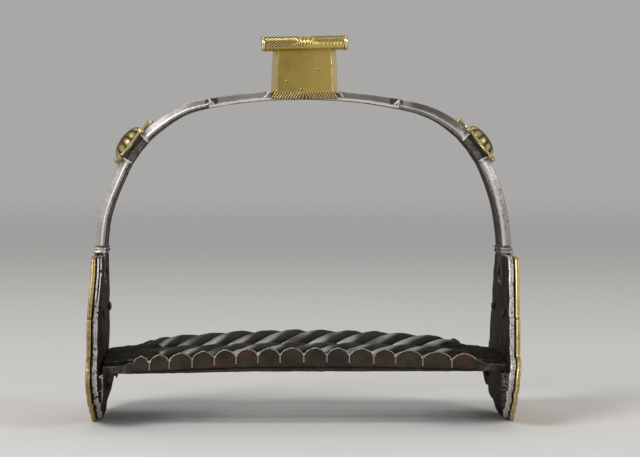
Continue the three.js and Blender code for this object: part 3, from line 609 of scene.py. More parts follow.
def bowFinish(name, light, dark, brown, shadeBlack, shine):
    f = Finish(name)
    marks = bowMarks
    along, rise = f.attribute("along"), f.attribute("rise")
    far = abs(along)
    fromSeat = abs(far - marks["seat"])
    right = f.step(along, -1, 1)
    front = f.step(abs(f.facing((0, 1, 0))), 0.25, 0.5)
    patches = f.step(f.noise(9, 4, 0.6), 0.35, 0.7)
    fine = f.noise(0.35, 3, 0.7)
    specks = f.step(f.noise(0.8, 3, 0.65), 0.52, 0.66)
    pits = f.step(f.cells(0.9), 0.3, 0.1) * f.step(f.noise(4.5, 2), 0.46, 0.62)
    mottled = f.noise(2.6, 3) * 0.5

    seat = f.step(fromSeat, marks["seatHalf"] + 0.15, marks["seatHalf"])
    arm = f.step(far, marks["crownEnd"], marks["crownEnd"] + 0.4) * (1 - seat) * front
    crown = (1 - f.step(far, marks["crownEnd"] - 0.2, marks["crownEnd"])) * front
    inner = f.step(rise, 0.3, 0.12) * (1 - front)
    # On the arms a painted highlight along the ridge parts the wide outer facet from a grainy inner one, and
    # painted shade darkens the foot and the inner faces
    level = rise + right * marks["rightRidge"]
    ridge = f.band(level, *marks["ridge"]) * arm
    edge = f.step(rise, 0.9, 0.97) * arm * (1 - right * 0.4) * f.step(fromSeat, 7, 10.5)
    foot = f.step(level, 0.2, 0.13) * arm
    grainy = f.step(level, 0.37, 0.33) * arm * specks
    outer = f.step(level, 0.34, 0.4) * arm
    shadedLengths = sum(f.step(abs(along - at), *reach) * much for at, reach, much in marks["shadedLengths"]) * outer
    pitted = f.step(level, 0.5, 0.58) * outer * right * (0.25 + specks * 0.6)
    # On the crown a painted reflection makes a bright strip under a facet darkened with painted shade
    strip = f.step(rise, 0.3, 0.24) * crown
    facet = f.step(rise, 0.26, 0.34) * crown
    # Small stops end the crown's facet, each with a painted highlight on its edge and painted shade beside
    # it
    lean = abs(far - marks["stop"] - rise * 0.9) + rise * 1.35
    stop = f.step(lean, 1.35, 1.2) * front
    stopEdge = stop * f.step(lean, 0.85, 1.0)
    besideStop = f.step(abs(far - (marks["stop"] + 0.2)), 2.6, 1.9) * (1 - stop)
    besideStop = besideStop * f.step(rise, 0.1, 0.3) * front
    # The seats end in mitres with a painted highlight, and painted shade lies in lines beside them
    mitre = f.band(fromSeat, marks["seatHalf"] + 0.5, 0.3) * f.step(rise, 0.9, 0.7) * front
    dusk = f.band(fromSeat, marks["seatHalf"] - 0.1, 0.35) * front
    # Painted shadow on the bow round each rosette
    rosetteShadow = f.step(fromSeat, *marks["grimeAndShade"]) * f.step(rise, 0.4, 0.75) * (1 - seat)
    low, high = (height * mm for height in marks["rightFoot"])
    rightFoot = f.step(f.axis("Z"), low, high) * right * arm

    # Painted shade on the inner faces, the foot, beside the stops and beside the mitres; painted highlights
    # on the ridges, outer edges, crown strip, stop edges and mitres, over the edge wear
    black = (inner * 0.96).most(foot * 0.93).most(besideStop * 0.8).most(dusk * 0.8)
    worn = f.attribute("worn") * f.step(f.noise(1.7, 3), 0.3, 0.55) * 0.35 * (1 - seat)
    bright = ridge.most(edge * 0.8).most(strip * 0.8).most(stopEdge).most(mitre * 0.8).most(worn)
    layers = [
        (patches * 0.7, dark),
        (specks * (0.25 + right * 0.3), dark),
        (pitted, darker(dark, 0.6)),
        (facet * (0.6 + right * 0.15), brown),
        (shadedLengths * 0.75, darker(brown, 0.6)),
        (grainy * 0.75, brown),
        (rosetteShadow * (0.5 + mottled), (0.05, 0.036, 0.026)),
        (rightFoot * f.step(level, 0.3, 0.22) * 0.9, shadeBlack),
        (rightFoot * f.step(level, 0.56, 0.68) * (0.3 + specks * 0.5), darker(dark, 0.35)),
        (pits * 0.6, darker(dark, 0.3)),
        (seat * (0.62 + mottled) * (1 - specks * 0.35), (0.035, 0.031, 0.028)),
        # Painted shade on the upper part of each seat, under its rosette
        (seat * f.step(rise, 0.3, 0.75) * 0.8, (0.012, 0.009, 0.007)),
        (black, shadeBlack),
        (bright * 0.95, shine),
    ]
    lumps = f.noise(2.2, 3, 0.55) * 0.45 + fine * 0.25 - pits * 0.8
    return f.surface(
        f.cover(light, layers),
        roughness=0.36 + fine * 0.16 + pits * 0.2 + inner * 0.3,
        metallic=1 - (inner * 0.9).most(foot * 0.8).most(seat * 0.45),
        specular_ior_level=0.05,
        normal=f.bump(lumps, 0.06),
    )


# Engraved lines that cross the edge of an overlay, in mm, and the painted highlight on the front edge of the
# right one, with painted shade along its outer border
overlayCuts = {"slant": 1.2, "lines": ((28.8, 0.2), (29.6, 0.18), (13.5, 0.2)), "border": (1.36, 1.5)}


def overlayLines(f):
    across, front = f.attribute("across"), abs(f.facing((0, 1, 0)))
    slanted = f.axis("Z") - across * (overlayCuts["slant"] * mm)
    first, second, third = (f.band(slanted, z * mm, width * mm) for z, width in overlayCuts["lines"])
    lit = f.onRight() * f.step(front, 0.6, 0.85)
    return [
        (lit * 0.9, (0.88, 0.77, 0.40)),
        (lit * f.step(across, *overlayCuts["border"]) * 0.85, (0.36, 0.23, 0.06)),
        (first.most(second).most(third) * f.step(front, 0.3, 0.6) * 0.8, (0.06, 0.042, 0.018)),
    ]


# Three small dings in the front panel of the head, painted as highlights with painted shade beside them:
# places and sizes in mm
dingForm = {"places": ((4.3, 121.7), (-6.3, 117.6), (-1.4, 114.9)), "size": (0.44, 0.2), "shade": (0.5, 0.2)}


def headDings(f):
    x, z = f.axis("X"), f.axis("Z")
    front = f.step(f.facing((0, -1, 0)), 0.7, 0.9)

    # A small diamond at each ding, for the painted highlight, and moved right and down for the painted shade
    def spots(size, right, down):
        reach = [edge * mm for edge in size]
        return sum(
            f.step(abs(x - (dingX + right) * mm) + abs(z - (dingZ - down) * mm), *reach)
            for dingX, dingZ in dingForm["places"]
        )

    return [
        (spots(dingForm["shade"], 0.4, 0.5) * front * 0.7, (0.09, 0.055, 0.015)),
        (spots(dingForm["size"], 0, 0) * front * 0.85, (1.0, 0.86, 0.48)),
    ]


# The sides of the ferrules that look into the stirrup are darkened with painted shade
def inwardFaces(f):
    outward = f.onRight() * 2 - 1
    return f.step(f.facing((1, 0, 0)) * outward, -0.2, -0.5)


bowSteel = bowFinish(
    "bowSteel",
    light=(0.60, 0.58, 0.55), dark=(0.38, 0.36, 0.33), brown=(0.12, 0.10, 0.08),
    shadeBlack=(0.022, 0.018, 0.015), shine=(0.86, 0.83, 0.79),
)
loopSteel = steelFinish(
    "loopSteel", light=(0.26, 0.245, 0.225), dark=(0.12, 0.11, 0.10), rust=(0.14, 0.10, 0.07)
)
ferruleSteel = steelFinish(
    "ferruleSteel",
    light=(0.60, 0.58, 0.54), dark=(0.32, 0.30, 0.27), rust=(0.14, 0.10, 0.07), mask=inwardFaces,
)
headBrass = brassFinish(
    "headBrass",
    light=(0.52, 0.385, 0.10), dark=(0.42, 0.32, 0.08), grimeAndShade=(0.09, 0.055, 0.015),
    shine=(0.88, 0.75, 0.44), rough=0.28, side=0.5, marks=headDings,
)
overlayBrass = brassFinish(
    "overlayBrass",
    light=(0.31, 0.235, 0.085), dark=(0.23, 0.18, 0.06), grimeAndShade=(0.06, 0.042, 0.018),
    shine=(0.50, 0.40, 0.19), rough=0.46, dents=0.03, side=1.0, speckled=0.25, marks=overlayLines,
)
rosetteBrass = brassFinish(
    "rosetteBrass",
    light=(0.32, 0.25, 0.085), dark=(0.14, 0.11, 0.035), grimeAndShade=(0.03, 0.022, 0.01),
    shine=(0.80, 0.69, 0.42), rough=0.44,
)
plateIron = ironFinish(
    "plateIron",
    light=(0.024, 0.020, 0.015), dark=(0.010, 0.008, 0.006), rust=(0.032, 0.021, 0.013),
    sheen=(0.78, 0.75, 0.70), rim=plateRim, gloss=0.05, metal=0.04,
)
railIron = ironFinish(
    "railIron",
    light=(0.042, 0.033, 0.023), dark=(0.018, 0.014, 0.010), rust=(0.06, 0.030, 0.013),
    sheen=(0.50, 0.42, 0.31),
)
twistIron = ironFinish(
    "twistIron",
    light=(0.030, 0.029, 0.025), dark=(0.012, 0.012, 0.010), rust=(0.032, 0.023, 0.012),
    sheen=(0.60, 0.61, 0.57),
)
# A darker copy of the tread's iron: painted shade on the forged ends beside the side plates
webIronShaded = ironFinish(
    "webIronShaded",
    light=(0.016, 0.015, 0.012), dark=(0.007, 0.007, 0.005), rust=(0.020, 0.014, 0.008),
    sheen=(0.45, 0.44, 0.40), gloss=0.05, metal=0.0,
)
print("finishes made")

# Bow: evened out as forged metal. Its path gives each point a distance along the bow and a height in it.
# In this and the later dictionaries lengths are in mm, and grain is the size of the forged piece's faces

bowForm = {
    "arcs": [(193, 11.4), (39, 54.6), (76, 21.5)],  # radius in mm and turn in degrees, from the crown down
    "halfSpan": 72.2, "footZ": 60.6, "thick": (3.1, 4.2),
    "thicken": (15, 70),  # along the bow
    "grain": 0.36, "evened": 2, "lump": 0.08, "lumpSize": 5.0, "fine": 0.03, "fineSize": 1.2,
    "seatAlong": 66.04,
    "seatSlope": 52,  # degrees from upright
    "sag": 1.25,  # how far the left shoulder has been bent inwards
    "sagReach": (10, 31), "seatHalf": (4.7, 5.2),
    "seatDrop": 1.15,  # how much lower the rosettes sit than the seat blocks were left
    "seatRise": (0.4, 0.95),
}


def tracePath(form, step=0.25):
    places = [(0.0, 0.0, 0.0)]
    for radius, turn in form["arcs"]:
        x, z, slope = places[-1]
        count = round(radius * radians(turn) / step)
        for i in range(1, count + 1):
            bent = slope + radians(turn) * i / count
            across = x + radius * (sin(bent) - sin(slope))
            places.append((across, z + radius * (cos(bent) - cos(slope)), bent))
    stretch = form["halfSpan"] / places[-1][0]
    lift = form["footZ"] - places[-1][1]
    return [(x * stretch, z + lift, slope) for x, z, slope in places]


bowPath = tracePath(bowForm)
bowTree = kdtree.KDTree(len(bowPath))
for i, (x, z, slope) in enumerate(bowPath):
    bowTree.insert((x, 0, z), i)
bowTree.balance()


# Distance along the bow from its middle, less than 0 on the left, and height above its inner face as a
# share of its thickness
def onBow(place, form):
    i = bowTree.find((abs(place.x), 0, place.z))[1]
    x, z, slope = bowPath[i]
    along = i / len(bowPath) * sum(radius * radians(turn) for radius, turn in form["arcs"])
    thin, stout = form["thick"]
    thick = thin + (stout - thin) * ease(along, *form["thicken"])
    out = (abs(place.x) - x) * sin(slope) + (place.z - z) * cos(slope)
    return copysign(along, place.x), 1 + out / thick


# The way into the bow at a seat, where side is -1 for the left one and 1 for the right one
def intoSeat(side, form):
    slope = radians(form["seatSlope"])
    return Vector((-side * sin(slope), 0, -cos(slope)))


def sagAt(place, form):
    away = abs(onBow(place, form)[0] + form["seatAlong"])
    return intoSeat(-1, form) * form["sag"] * (1 - ease(away, *form["sagReach"]))


# The seat blocks are dressed down until the rosettes sit low
def dressSeats(place, form):
    along, rise = onBow(place, form)
    inSeat = 1 - ease(abs(abs(along) - form["seatAlong"]), *form["seatHalf"])
    drop = form["seatDrop"] * inSeat * ease(rise, *form["seatRise"])
    return intoSeat(copysign(1, along), form) * drop


def makeBow(form):
    bow = copyNode("bow", "bowForged")
    forge(bow, form["grain"], form["evened"])
    measure(bow, "along", lambda place: onBow(place, form)[0])
    measure(bow, "rise", lambda place: onBow(place, form)[1])
    relief(bow, lambda place, normal: hammered(place, form, 3, 4))
    markWearAndLight(bow)
    shift(bow, lambda place: dressSeats(place, form))
    shift(bow, lambda place: sagAt(place, form))
    return finishPiece(bow, bowSteel, ["bow"])


makeBow(bowForm)
print("bow made")

# Side plates, ferrules and brass overlays

plateForm = {"grain": 0.42, "lump": 0.3, "lumpSize": 4.2, "fine": 0.05, "fineSize": 0.9}
ferruleForm = {"grain": 0.2, "lump": 0.4, "lumpSize": 1.9, "fine": 0.03, "fineSize": 0.5}
overlayForm = {"grain": 0.4, "lump": 0.07, "lumpSize": 5, "fine": 0.03, "fineSize": 1.1}
faces = {"inner": 68.7, "thick": 2.0, "clean": (70.6, 70.9)}  # of the side plates, from the middle out
# The left plate and its overlay belly outwards along their edges. The right ones are beaten in and out
belly = {
    "edge": (19.5, 25),  # from the middle of the plate to where its edges bend
    "tip": (5, 11), "left": -1.05, "leftRise": (-25, 20), "leftEnd": (36, 59),
    "up": (0, 3.8, 6, 9.2, 12.4, 17.7, 22, 30, 43, 54, 64),
    "right": (0.5, 0.1, -0.4, -0.6, -0.85, -0.6, 0.0, 0.1, 0.35, 0.6, 0.6),  # outwards at these heights
    "rightHigh": (28, 42), "highEdge": (7, 13),  # higher up the edges bend from nearer the middle
}


def bellyAt(place, side):
    edge = ease(abs(place.y), *belly["edge"])
    tip = 1 - ease(place.z, *belly["tip"])
    if side == "left":
        upright = ease(place.z, *belly["leftRise"]) * (1 - ease(place.z, *belly["leftEnd"]))
        return belly["left"] * upright * max(edge, tip)
    high = ease(place.z, *belly["rightHigh"])
    beyond = max(edge, tip) * (1 - high) + ease(abs(place.y), *belly["highEdge"]) * high
    return float(np.interp(place.z, belly["up"], belly["right"])) * beyond


def makeForged(node, name, material, form, side=None):
    piece = copyNode(node, name)
    forge(piece, form["grain"])
    seed = sum(map(ord, name)) % 17
    relief(piece, lambda place, normal: hammered(place, form, seed, seed + 3))
    markWearAndLight(piece)
    if side:
        measure(piece, "across", lambda place: (abs(place.x) - faces["inner"]) / faces["thick"])
        repaint(piece, "sunkAndShaded", lambda place, old: old * (1 - ease(abs(place.x), *faces["clean"])))
        shift(piece, lambda place: Vector((bellyAt(place, side), 0, 0)))
    return finishPiece(piece, material, [node])


for side in ("left", "right"):
    makeForged(f"side_plate_{side}", f"sidePlate_{side}", plateIron, plateForm, side)
    makeForged(f"ferrule_{side}", f"ferrule_{side}Worn", ferruleSteel, ferruleForm)
    makeForged(f"overlay_{side}", f"overlay_{side}Worn", overlayBrass, overlayForm, side)
print("side plates made")

# Tread: scaled rails, forged ends and twisted bars

railForm = {
    "grain": 0.26, "lump": 0.1, "lumpSize": 2.6, "fine": 0.05, "fineSize": 0.7,
    "shares": [5.6, 6.7, 7.7, 7.5, 7.3, 7.4, 7.5, 8, 7.8, 7.6, 8.3, 7.4, 9.2, 9.9, 8.6],  # of the scales
    "half": 58.2,  # from the middle to the outer edge of the last scale
    "side": 3.5,  # from the rail's underside to where the rounded tops start
    "rise": 2.1,
    "gain": 1.4,  # what the scales gain in height from the ends to the middle
    "face": 25.8,  # from the middle of the tread to behind a rail's outer face
    "line": 0.26, "lineWidth": 0.17,
    "seam": (3.1, 0.4),  # below and above the shoulder of a scale
    "rubbedFrom": (2.0, 3.2), "ends": (58.6, 62), "thinned": 0.34, "leftDrop": 0.7, "dropFrom": (15, 58),
    "bareEnds": (0.28, (59, 61), (-0.3, 0.3)),  # strength, reach and contrast of the patches
}
underside = {"bottom": 19.2, "lift": 1.3, "half": 68.4}


def archAt(x):
    return underside["bottom"] + underside["lift"] * (1 - (x / underside["half"]) ** 2)


def scalesOf(form):
    total = sum(form["shares"])
    edge = -form["half"]
    scales = []
    for share in form["shares"]:
        reach = share / total * form["half"]
        scales.append((edge + reach, reach))
        edge += 2 * reach
    return scales


# How near a place on a rail's outer face is to the raised line round a scale, from 0 to 1
def lineNear(x, z, scales, form):
    near = 0.0
    below, above = form["seam"]
    for middle, reach in scales:
        away = abs(x - middle)
        if away > reach + 0.6:
            continue
        share = min(away / reach, 1.0)
        tall = form["side"] + form["gain"] * (1 - (middle / form["half"]) ** 2)
        shoulder = archAt(x) + tall
        top = shoulder + form["rise"] * (1 - share * share)
        tilt = hypot(1, 2 * form["rise"] * share / reach)
        gap = abs(z - top + form["lineWidth"] * 1.2) / tilt
        if shoulder - below < z < shoulder + above:
            gap = min(gap, abs(away - reach))
        near = max(near, exp(-((gap / form["lineWidth"]) ** 2)))
    return near


def makeRail(side, form):
    node = "tread_rail_" + side
    sign = -1 if side == "front" else 1
    rail = copyNode(node, "scaleRail_" + side)
    forge(rail, form["grain"])
    scales = scalesOf(form)
    if side == "rear":
        scales = [(-middle, reach) for middle, reach in scales]

    def outline(co):
        return lineNear(co.x, co.z, scales, form) if co.y * sign > form["face"] else 0.0

    def height(co, normal):
        lump = hammered(co, form, sign, 7)
        return lump + outline(co) * form["line"] if normal.y * sign > 0.5 else lump

    # Painted highlights on the raised lines round the scales; lower down the edge wear fades out
    def wearAndLight(co, old):
        return max(outline(co), old * ease(co.z - archAt(co.x), *form["rubbedFrom"]) * 0.8)

    # The plain ends thin out towards the side plates, and the left end hangs a little lower
    def ends(co):
        thinned = form["thinned"] * max(co.z - archAt(co.x), 0.0) * ease(abs(co.x), *form["ends"])
        return Vector((0, 0, -thinned - form["leftDrop"] * ease(-co.x, *form["dropFrom"])))

    def bareEnds(co, old):
        strength, reach, patches = form["bareEnds"]
        return max(old, strength * ease(abs(co.x), *reach) * ease(grain(co, 1.5), *patches))

    relief(rail, height)
    markWearAndLight(rail)
    repaint(rail, "worn", wearAndLight)
    shift(rail, ends)
    repaint(rail, "worn", bareEnds)
    return finishPiece(rail, railIron, [node])


for side in ("front", "rear"):
    makeRail(side, railForm)

# The forged ends: each web starts thin at the side plate, gathers the bars and runs out between them
webForm = {
    "outer": 68.4, "inner": 45.5, "halfWidth": 22.6, "bottom": 19.5,
    "middle": [(68.4, 23.7), (60, 25.0), (54, 26.1), (50, 26.4), (45.5, 23.6)],  # out and up
    "edge": [(68.4, 22.3), (60, 22.9), (54, 23.6), (50, 23.5), (45.5, 21.4)],
    "furrow": {"depth": 0.9, "from": 58, "side": 7.3, "width": 2.4},
    "steps": 36, "across": 30, "grain": 0.4, "evened": 2, "lump": 0.35, "lumpSize": 3.4, "fine": 0.08,
    "fineSize": 1.0,
}


def heightOn(line, x):
    for (x0, z0), (x1, z1) in zip(line, line[1:]):
        if x1 <= x <= x0:
            share = (x0 - x) / (x0 - x1)
            return z0 + (z1 - z0) * ease(share, 0, 1)
    return line[-1][1]


def makeWeb(side, form):
    sign = -1 if side == "left" else 1
    grid = {"x_subdivisions": form["steps"], "y_subdivisions": form["across"], "size": 1}
    web = addShape(bpy.ops.mesh.primitive_grid_add, "treadWeb_" + side, **grid)
    edit(web)
    length = form["outer"] - form["inner"]
    bpy.ops.transform.resize(value=(length * mm, 2 * form["halfWidth"] * mm, 1))
    middle = (form["outer"] + form["inner"]) / 2
    bpy.ops.transform.translate(value=(sign * middle * mm, 0, form["bottom"] * mm))
    extrude(0, 0, 2 * mm)
    closeUp()
    furrowed = form["furrow"]

    def crown(co):
        if co.z < form["bottom"] + 1:
            return Vector((0, 0, 0))
        out = abs(co.x)
        share = abs(co.y) / form["halfWidth"]
        top = heightOn(form["middle"], out)
        edge = heightOn(form["edge"], out)
        # Between the bars the web sinks more than over them
        beside = (abs(co.y) - furrowed["side"]) / furrowed["width"]
        furrow = furrowed["depth"] * ease(furrowed["from"] - out, 0, 8) * exp(-(beside**2))
        return Vector((0, 0, edge + (top - edge) * (1 - share**1.6) - furrow - co.z))

    shift(web, crown)
    forge(web, form["grain"], form["evened"])
    relief(web, lambda co, normal: hammered(co, form, 11, 12))
    markWearAndLight(web)
    # Painted shade dims the edge wear on the webs
    repaint(web, "worn", lambda co, old: old * 0.4)
    return finishPiece(web, webIronShaded, ["tread_end_" + side])


for side in ("left", "right"):
    makeWeb(side, webForm)

twistForm = {
    "pitch": 38.0,  # along the bar for a full turn
    "lobes": 4,
    "groove": 0.3,  # depth of the grooves as a share of the radius
    "points": 40, "step": 1.0, "taper": 8.0, "endShare": 0.62, "endGap": 5.0, "lump": 0.3,
    "lumpSize": 3.2, "fine": 0.06, "fineSize": 0.9,
}
bars = {  # place from front to back, radius, height of the top in the middle, and how much the ends drop
    "Middle": (0, 4.6, 31.0, 3.2),
    "Front": (-13.4, 3.6, 27.9, 2.0),
    "Rear": (13.4, 3.6, 27.9, 2.0),
}


def makeTwist(part, y, radius, topZ, drop, form):
    node = "twist_" + part.lower()
    low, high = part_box(node)
    reach = high.x / mm - form["endGap"]
    count = round(2 * reach / form["step"])

    def centreAt(x):
        return topZ - radius - drop * (x / reach) ** 2

    def barAt(i):
        x = -reach + 2 * reach * i / count
        grown = ease(reach - abs(x), 0, form["taper"])
        size = radius * (form["endShare"] + (1 - form["endShare"]) * grown)
        return Vector((x, y, centreAt(x))) * mm, size

    place, size = barAt(0)
    ring = {"vertices": form["points"], "radius": size * mm, "fill_type": "NGON", "location": place}
    bar = addShape(bpy.ops.mesh.primitive_circle_add, "twist" + part, **ring, rotation=(0, pi / 2, 0))
    bpy.ops.object.transform_apply()
    edit(bar)
    # Draw the ring in at the grooves between the strands
    perLobe = form["points"] // form["lobes"]
    for k in range(perLobe):
        turn = abs(sin(pi * k / perLobe))
        share = 1 - form["groove"] * (1 - turn**0.75)

        def inGroove(co):
            angle = atan2(co.z - place.z / mm, co.y - place.y / mm) / (2 * pi) * form["points"]
            return round(angle) % perLobe == k

        pickPoints(bar, inGroove)
        bpy.ops.transform.resize(value=(1, share, share), center_override=place)
    bpy.ops.mesh.select_mode(type="FACE")
    pickAll()
    for i in range(1, count + 1):
        there, grown = barAt(i)
        extrude(*(there - place))
        turn = 2 * pi * (there.x - place.x) / (form["pitch"] * mm)
        bpy.ops.transform.rotate(value=turn, orient_axis="X", center_override=there)
        bpy.ops.transform.resize(value=(1, grown / size, grown / size), center_override=there)
        place, size = there, grown
    closeUp()
    relief(bar, lambda co, normal: hammered(co, form, y, y + 4))
    markWearAndLight(bar, passes=3, common=60, marked=98)

    # Painted highlights: each strand gets a bright line and facet along its upper left side, most where it
    # turns towards the front
    def wearAndLight(co, old):
        angle = atan2(co.z - centreAt(co.x), co.y - y) / (2 * pi)
        across = ((angle + (co.x + reach) / form["pitch"]) * form["lobes"]) % 1.0
        line = ease(across, 0.03, 0.12) * (1 - ease(across, 0.14, 0.24))
        facet = ease(across, 0.08, 0.2) * (1 - ease(across, 0.4, 0.8)) * 0.55
        forward = ease(abs(angle), 0.2, 0.36)
        patch = ease(grain(co, 9, y + 2), -0.45, 0.1)
        return (0.45 + 0.55 * patch) * (0.12 + 0.88 * forward) * max(line, facet)

    repaint(bar, "worn", wearAndLight)
    return finishPiece(bar, twistIron, [node])


for part, setup in bars.items():
    makeTwist(part, *setup, twistForm)
print("tread made")

# Strap head: chased roll, tray with a hatched band, loop and bar


# A profile of radius and height turned about an upright axis through the origin
def turned(name, profile, steps):
    piece = addShape(bpy.ops.mesh.primitive_plane_add, name, size=mm)
    edit(piece)
    bpy.ops.mesh.merge(type="CENTER")
    radius, height = profile[0]
    bpy.ops.transform.translate(value=(radius * mm, 0, height * mm))
    for (r0, z0), (r1, z1) in zip(profile, profile[1:]):
        move = ((r1 - r0) * mm, 0, (z1 - z0) * mm)
        bpy.ops.mesh.extrude_vertices_move(TRANSFORM_OT_translate={"value": move})
    pickAll()
    bpy.ops.mesh.spin(steps=steps, angle=2 * pi, center=(0, 0, 0), axis=(0, 0, 1))
    pickAll()
    bpy.ops.mesh.remove_doubles(threshold=0.01 * mm)
    closeUp()
    return piece


rollForm = {
    "radius": 2.6, "half": 14.95, "rim": 1.1, "pitch": 1.22, "depth": 0.22, "lean": 1.35,
    "low": (-0.5, -0.12),  # radians round from the front, down to which the ridges reach, left and right
    "behind": 0.85,  # radians up from the front, where the hidden side with painted shade starts
    "rings": 190, "steps": 120,
    "tilt": -1.3,  # degrees, left end down
    "drop": 0.35,
}


# How far round the roll a place is: 0 at its front, and more than 0 above
def aroundRoll(co):
    return atan2(co.y, co.x)


def makeRoll(form):
    half, rim, r = form["half"], form["half"] - form["rim"], form["radius"]
    end = [(0, half), (r - 0.5, half), (r + 0.05, half - 0.35), (r + 0.15, half - 0.8), (r + 0.1, rim)]
    profile = [(radius, -z) for radius, z in end]
    rings = form["rings"]
    profile += [(r - 0.1, -rim + 0.2 + (2 * rim - 0.4) * i / rings) for i in range(rings + 1)]
    roll = turned("headRoll", profile + end[::-1], form["steps"])

    # Slanted ridges that fan out from the middle, on the upper part of the roll
    def height(co, normal):
        if abs(co.z) > rim - 0.25 or hypot(co.x, co.y) < r - 0.4:
            return 0.0
        lean = form["lean"] * ease(abs(co.z), 0.2, 5.0)
        across = abs(co.z) - lean * r * (aroundRoll(co) - 0.5) + grain(co, 3, 5) * 0.2
        ridge = (0.5 + 0.5 * cos(2 * pi * across / form["pitch"])) ** 1.3
        onRight = ease(-co.z, -1.0, 1.5)
        left, right = form["low"]
        low = left * (1 - onRight) + right * onRight
        chased = ease(aroundRoll(co), low - 0.06, low + 0.06)
        return (ridge - 0.8) * form["depth"] * chased + grain(co, 1.8, 2) * 0.03

    # Painted shade on the upper back of the roll, where the edge wear is dimmed too
    def paintedShade(co, old):
        return max(old, 0.55 * ease(aroundRoll(co), form["behind"], form["behind"] + 0.4))

    def wearAndLight(co, old):
        return old * (1 - 0.9 * ease(aroundRoll(co), form["behind"], form["behind"] + 0.35))

    relief(roll, height)
    markWearAndLight(roll, common=62, marked=94)
    repaint(roll, "sunkAndShaded", paintedShade)
    repaint(roll, "worn", wearAndLight)
    # Lay it along X with its front towards the camera
    low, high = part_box("head_roll")
    turn = Matrix(((0, 0, -1), (-1, 0, 0), (0, 1, 0))).to_4x4()
    tilt = Matrix.Rotation(radians(form["tilt"]), 4, "Y")
    place = Vector((0, (low.y + high.y) / 2, (low.z + high.z) / 2 - form["drop"] * mm))
    roll.matrix_world = Matrix.Translation(place) @ tilt @ turn
    return finishPiece(roll, headBrass, ["head_roll"])


makeRoll(rollForm)

# The tray: its evened out front panel and sides, and the hatched band over the crown
trayForm = {
    "grain": 0.2, "evened": 3, "lump": 0.05, "lumpSize": 3.5, "fine": 0.02, "fineSize": 1.1,
    "band": (-0.12, 2.1),  # foot and top of the band, from the tray's lowest point up
    "front": -7.4,  # what lies before this is the front panel
    "strips": -8.3,  # and what lies behind this is a side strip
    "ridges": 12,  # on each half of the band
    "pitch": 0.93, "first": 0.42, "ridge": (0.4, 0.5, 3.6),
    "lean": 33,  # degrees
}


# The slanted ridges of the band, trimmed to it
def makeHatching(form, low, high, foot, top):
    middle = (0, low.y + 0.02 * mm, (low.z + top) / 2)
    ridge = addShape(bpy.ops.mesh.primitive_cube_add, "ridge", size=1, location=middle)
    edit(ridge)
    bpy.ops.transform.resize(value=tuple(s * mm for s in form["ridge"]), center_override=ridge.location)
    leave()
    softenEdges(ridge, width=0.12, turn=30)
    repaint(ridge, "worn", lambda co, old: 0.55)
    ridges = []
    for sign in (-1, 1):
        for i in range(form["ridges"]):
            copy = ridge.copy()
            copy.data = ridge.data.copy()
            addToScene(copy)
            copy.location.x = sign * (form["first"] + i * form["pitch"]) * mm
            copy.rotation_euler.y = -sign * radians(form["lean"] * ease(i, -2.0, 2.0))
            ridges.append(copy)
    bpy.data.objects.remove(ridge)
    band = joinPieces(ridges)
    bpy.ops.object.transform_apply()
    edit(band, "FACE")
    # Each cut takes away what lies beyond a plane
    side = high.x - 0.15 * mm
    cuts = [((0, 0, foot), (0, 0, -1)), ((0, 0, top), (0, 0, 1))]
    cuts += [((-side, 0, 0), (-1, 0, 0)), ((side, 0, 0), (1, 0, 0))]
    for place, beyond in cuts:
        pickAll()
        bpy.ops.mesh.bisect(plane_co=place, plane_no=beyond, use_fill=True, clear_outer=True)
    return band


def makeTray(form):
    tray = copyNode("head_plate", "headTray")
    forge(tray, form["grain"], form["evened"])
    low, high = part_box("head_plate")
    foot, top = (low.z + height * mm for height in form["band"])

    # The sides reach up to the tilted roll and the panel reaches down to the band
    def fitted(co):
        up = (0.6 + 0.024 * co.x) * ease(co.z, 126.8, 128.4)
        down = 0.8 * ease(co.z, 112.8, 113.8) * (1 - ease(co.z, 115.2, 119))
        return Vector((0, 0, up - down - 0.3 * (1 - ease(co.z, 112, 112.8))))

    # The side strips are polished, and the ground of the band is dark
    def polished(co, old):
        if co.z * mm < top + 0.25 * mm and co.y < form["front"]:
            return 0.0
        return max(old, 0.8) if co.y > form["strips"] else old

    relief(tray, lambda co, normal: hammered(co, form, 6, 8))
    markWearAndLight(tray, passes=3, common=60, marked=90)
    shift(tray, fitted)
    repaint(tray, "worn", polished)
    repaint(tray, "sunkAndShaded", lambda co, old: 0.9 if co.z * mm < top and co.y < form["front"] else 0.0)
    joinPieces([tray, makeHatching(form, low, high, foot, top)])
    return finishPiece(tray, headBrass, ["head_plate"], angle=30)


makeTray(trayForm)
loopForm = {"grain": 0.2, "lump": 0.1, "lumpSize": 2.6, "fine": 0.03, "fineSize": 0.6}
for node in ("strap_loop", "strap_bar"):
    makeForged(node, node + "Worn", loopSteel, loopForm)
print("head made")

# Rosettes: a gadrooned dome in a milled rim, with faceted buds round it and a low rivet

rosetteForm = {
    "seat": (61.38, 96.74),  # out and up
    "rim": 7.4, "rimHeight": 1.25, "rise": 4.3, "lobes": 12, "depth": 0.17, "mill": 80, "rings": 26,
    "budTurns": (0, 45, 135, 180, 225, 315), "budReach": 9.3, "topReach": 11.1, "lowReach": 8.5,
    "budRaised": (0.9, 0.3),  # the upper bud lies lower than the others
    "droop": 8,  # degrees
    "bud": 1.35,
    "hug": 0.35,  # how far the rim is beaten down over the front and back edges of the bow
    "widen": 1.03,
    "through": 3.45,  # from the rosette's underside to the inner face of the bow
}


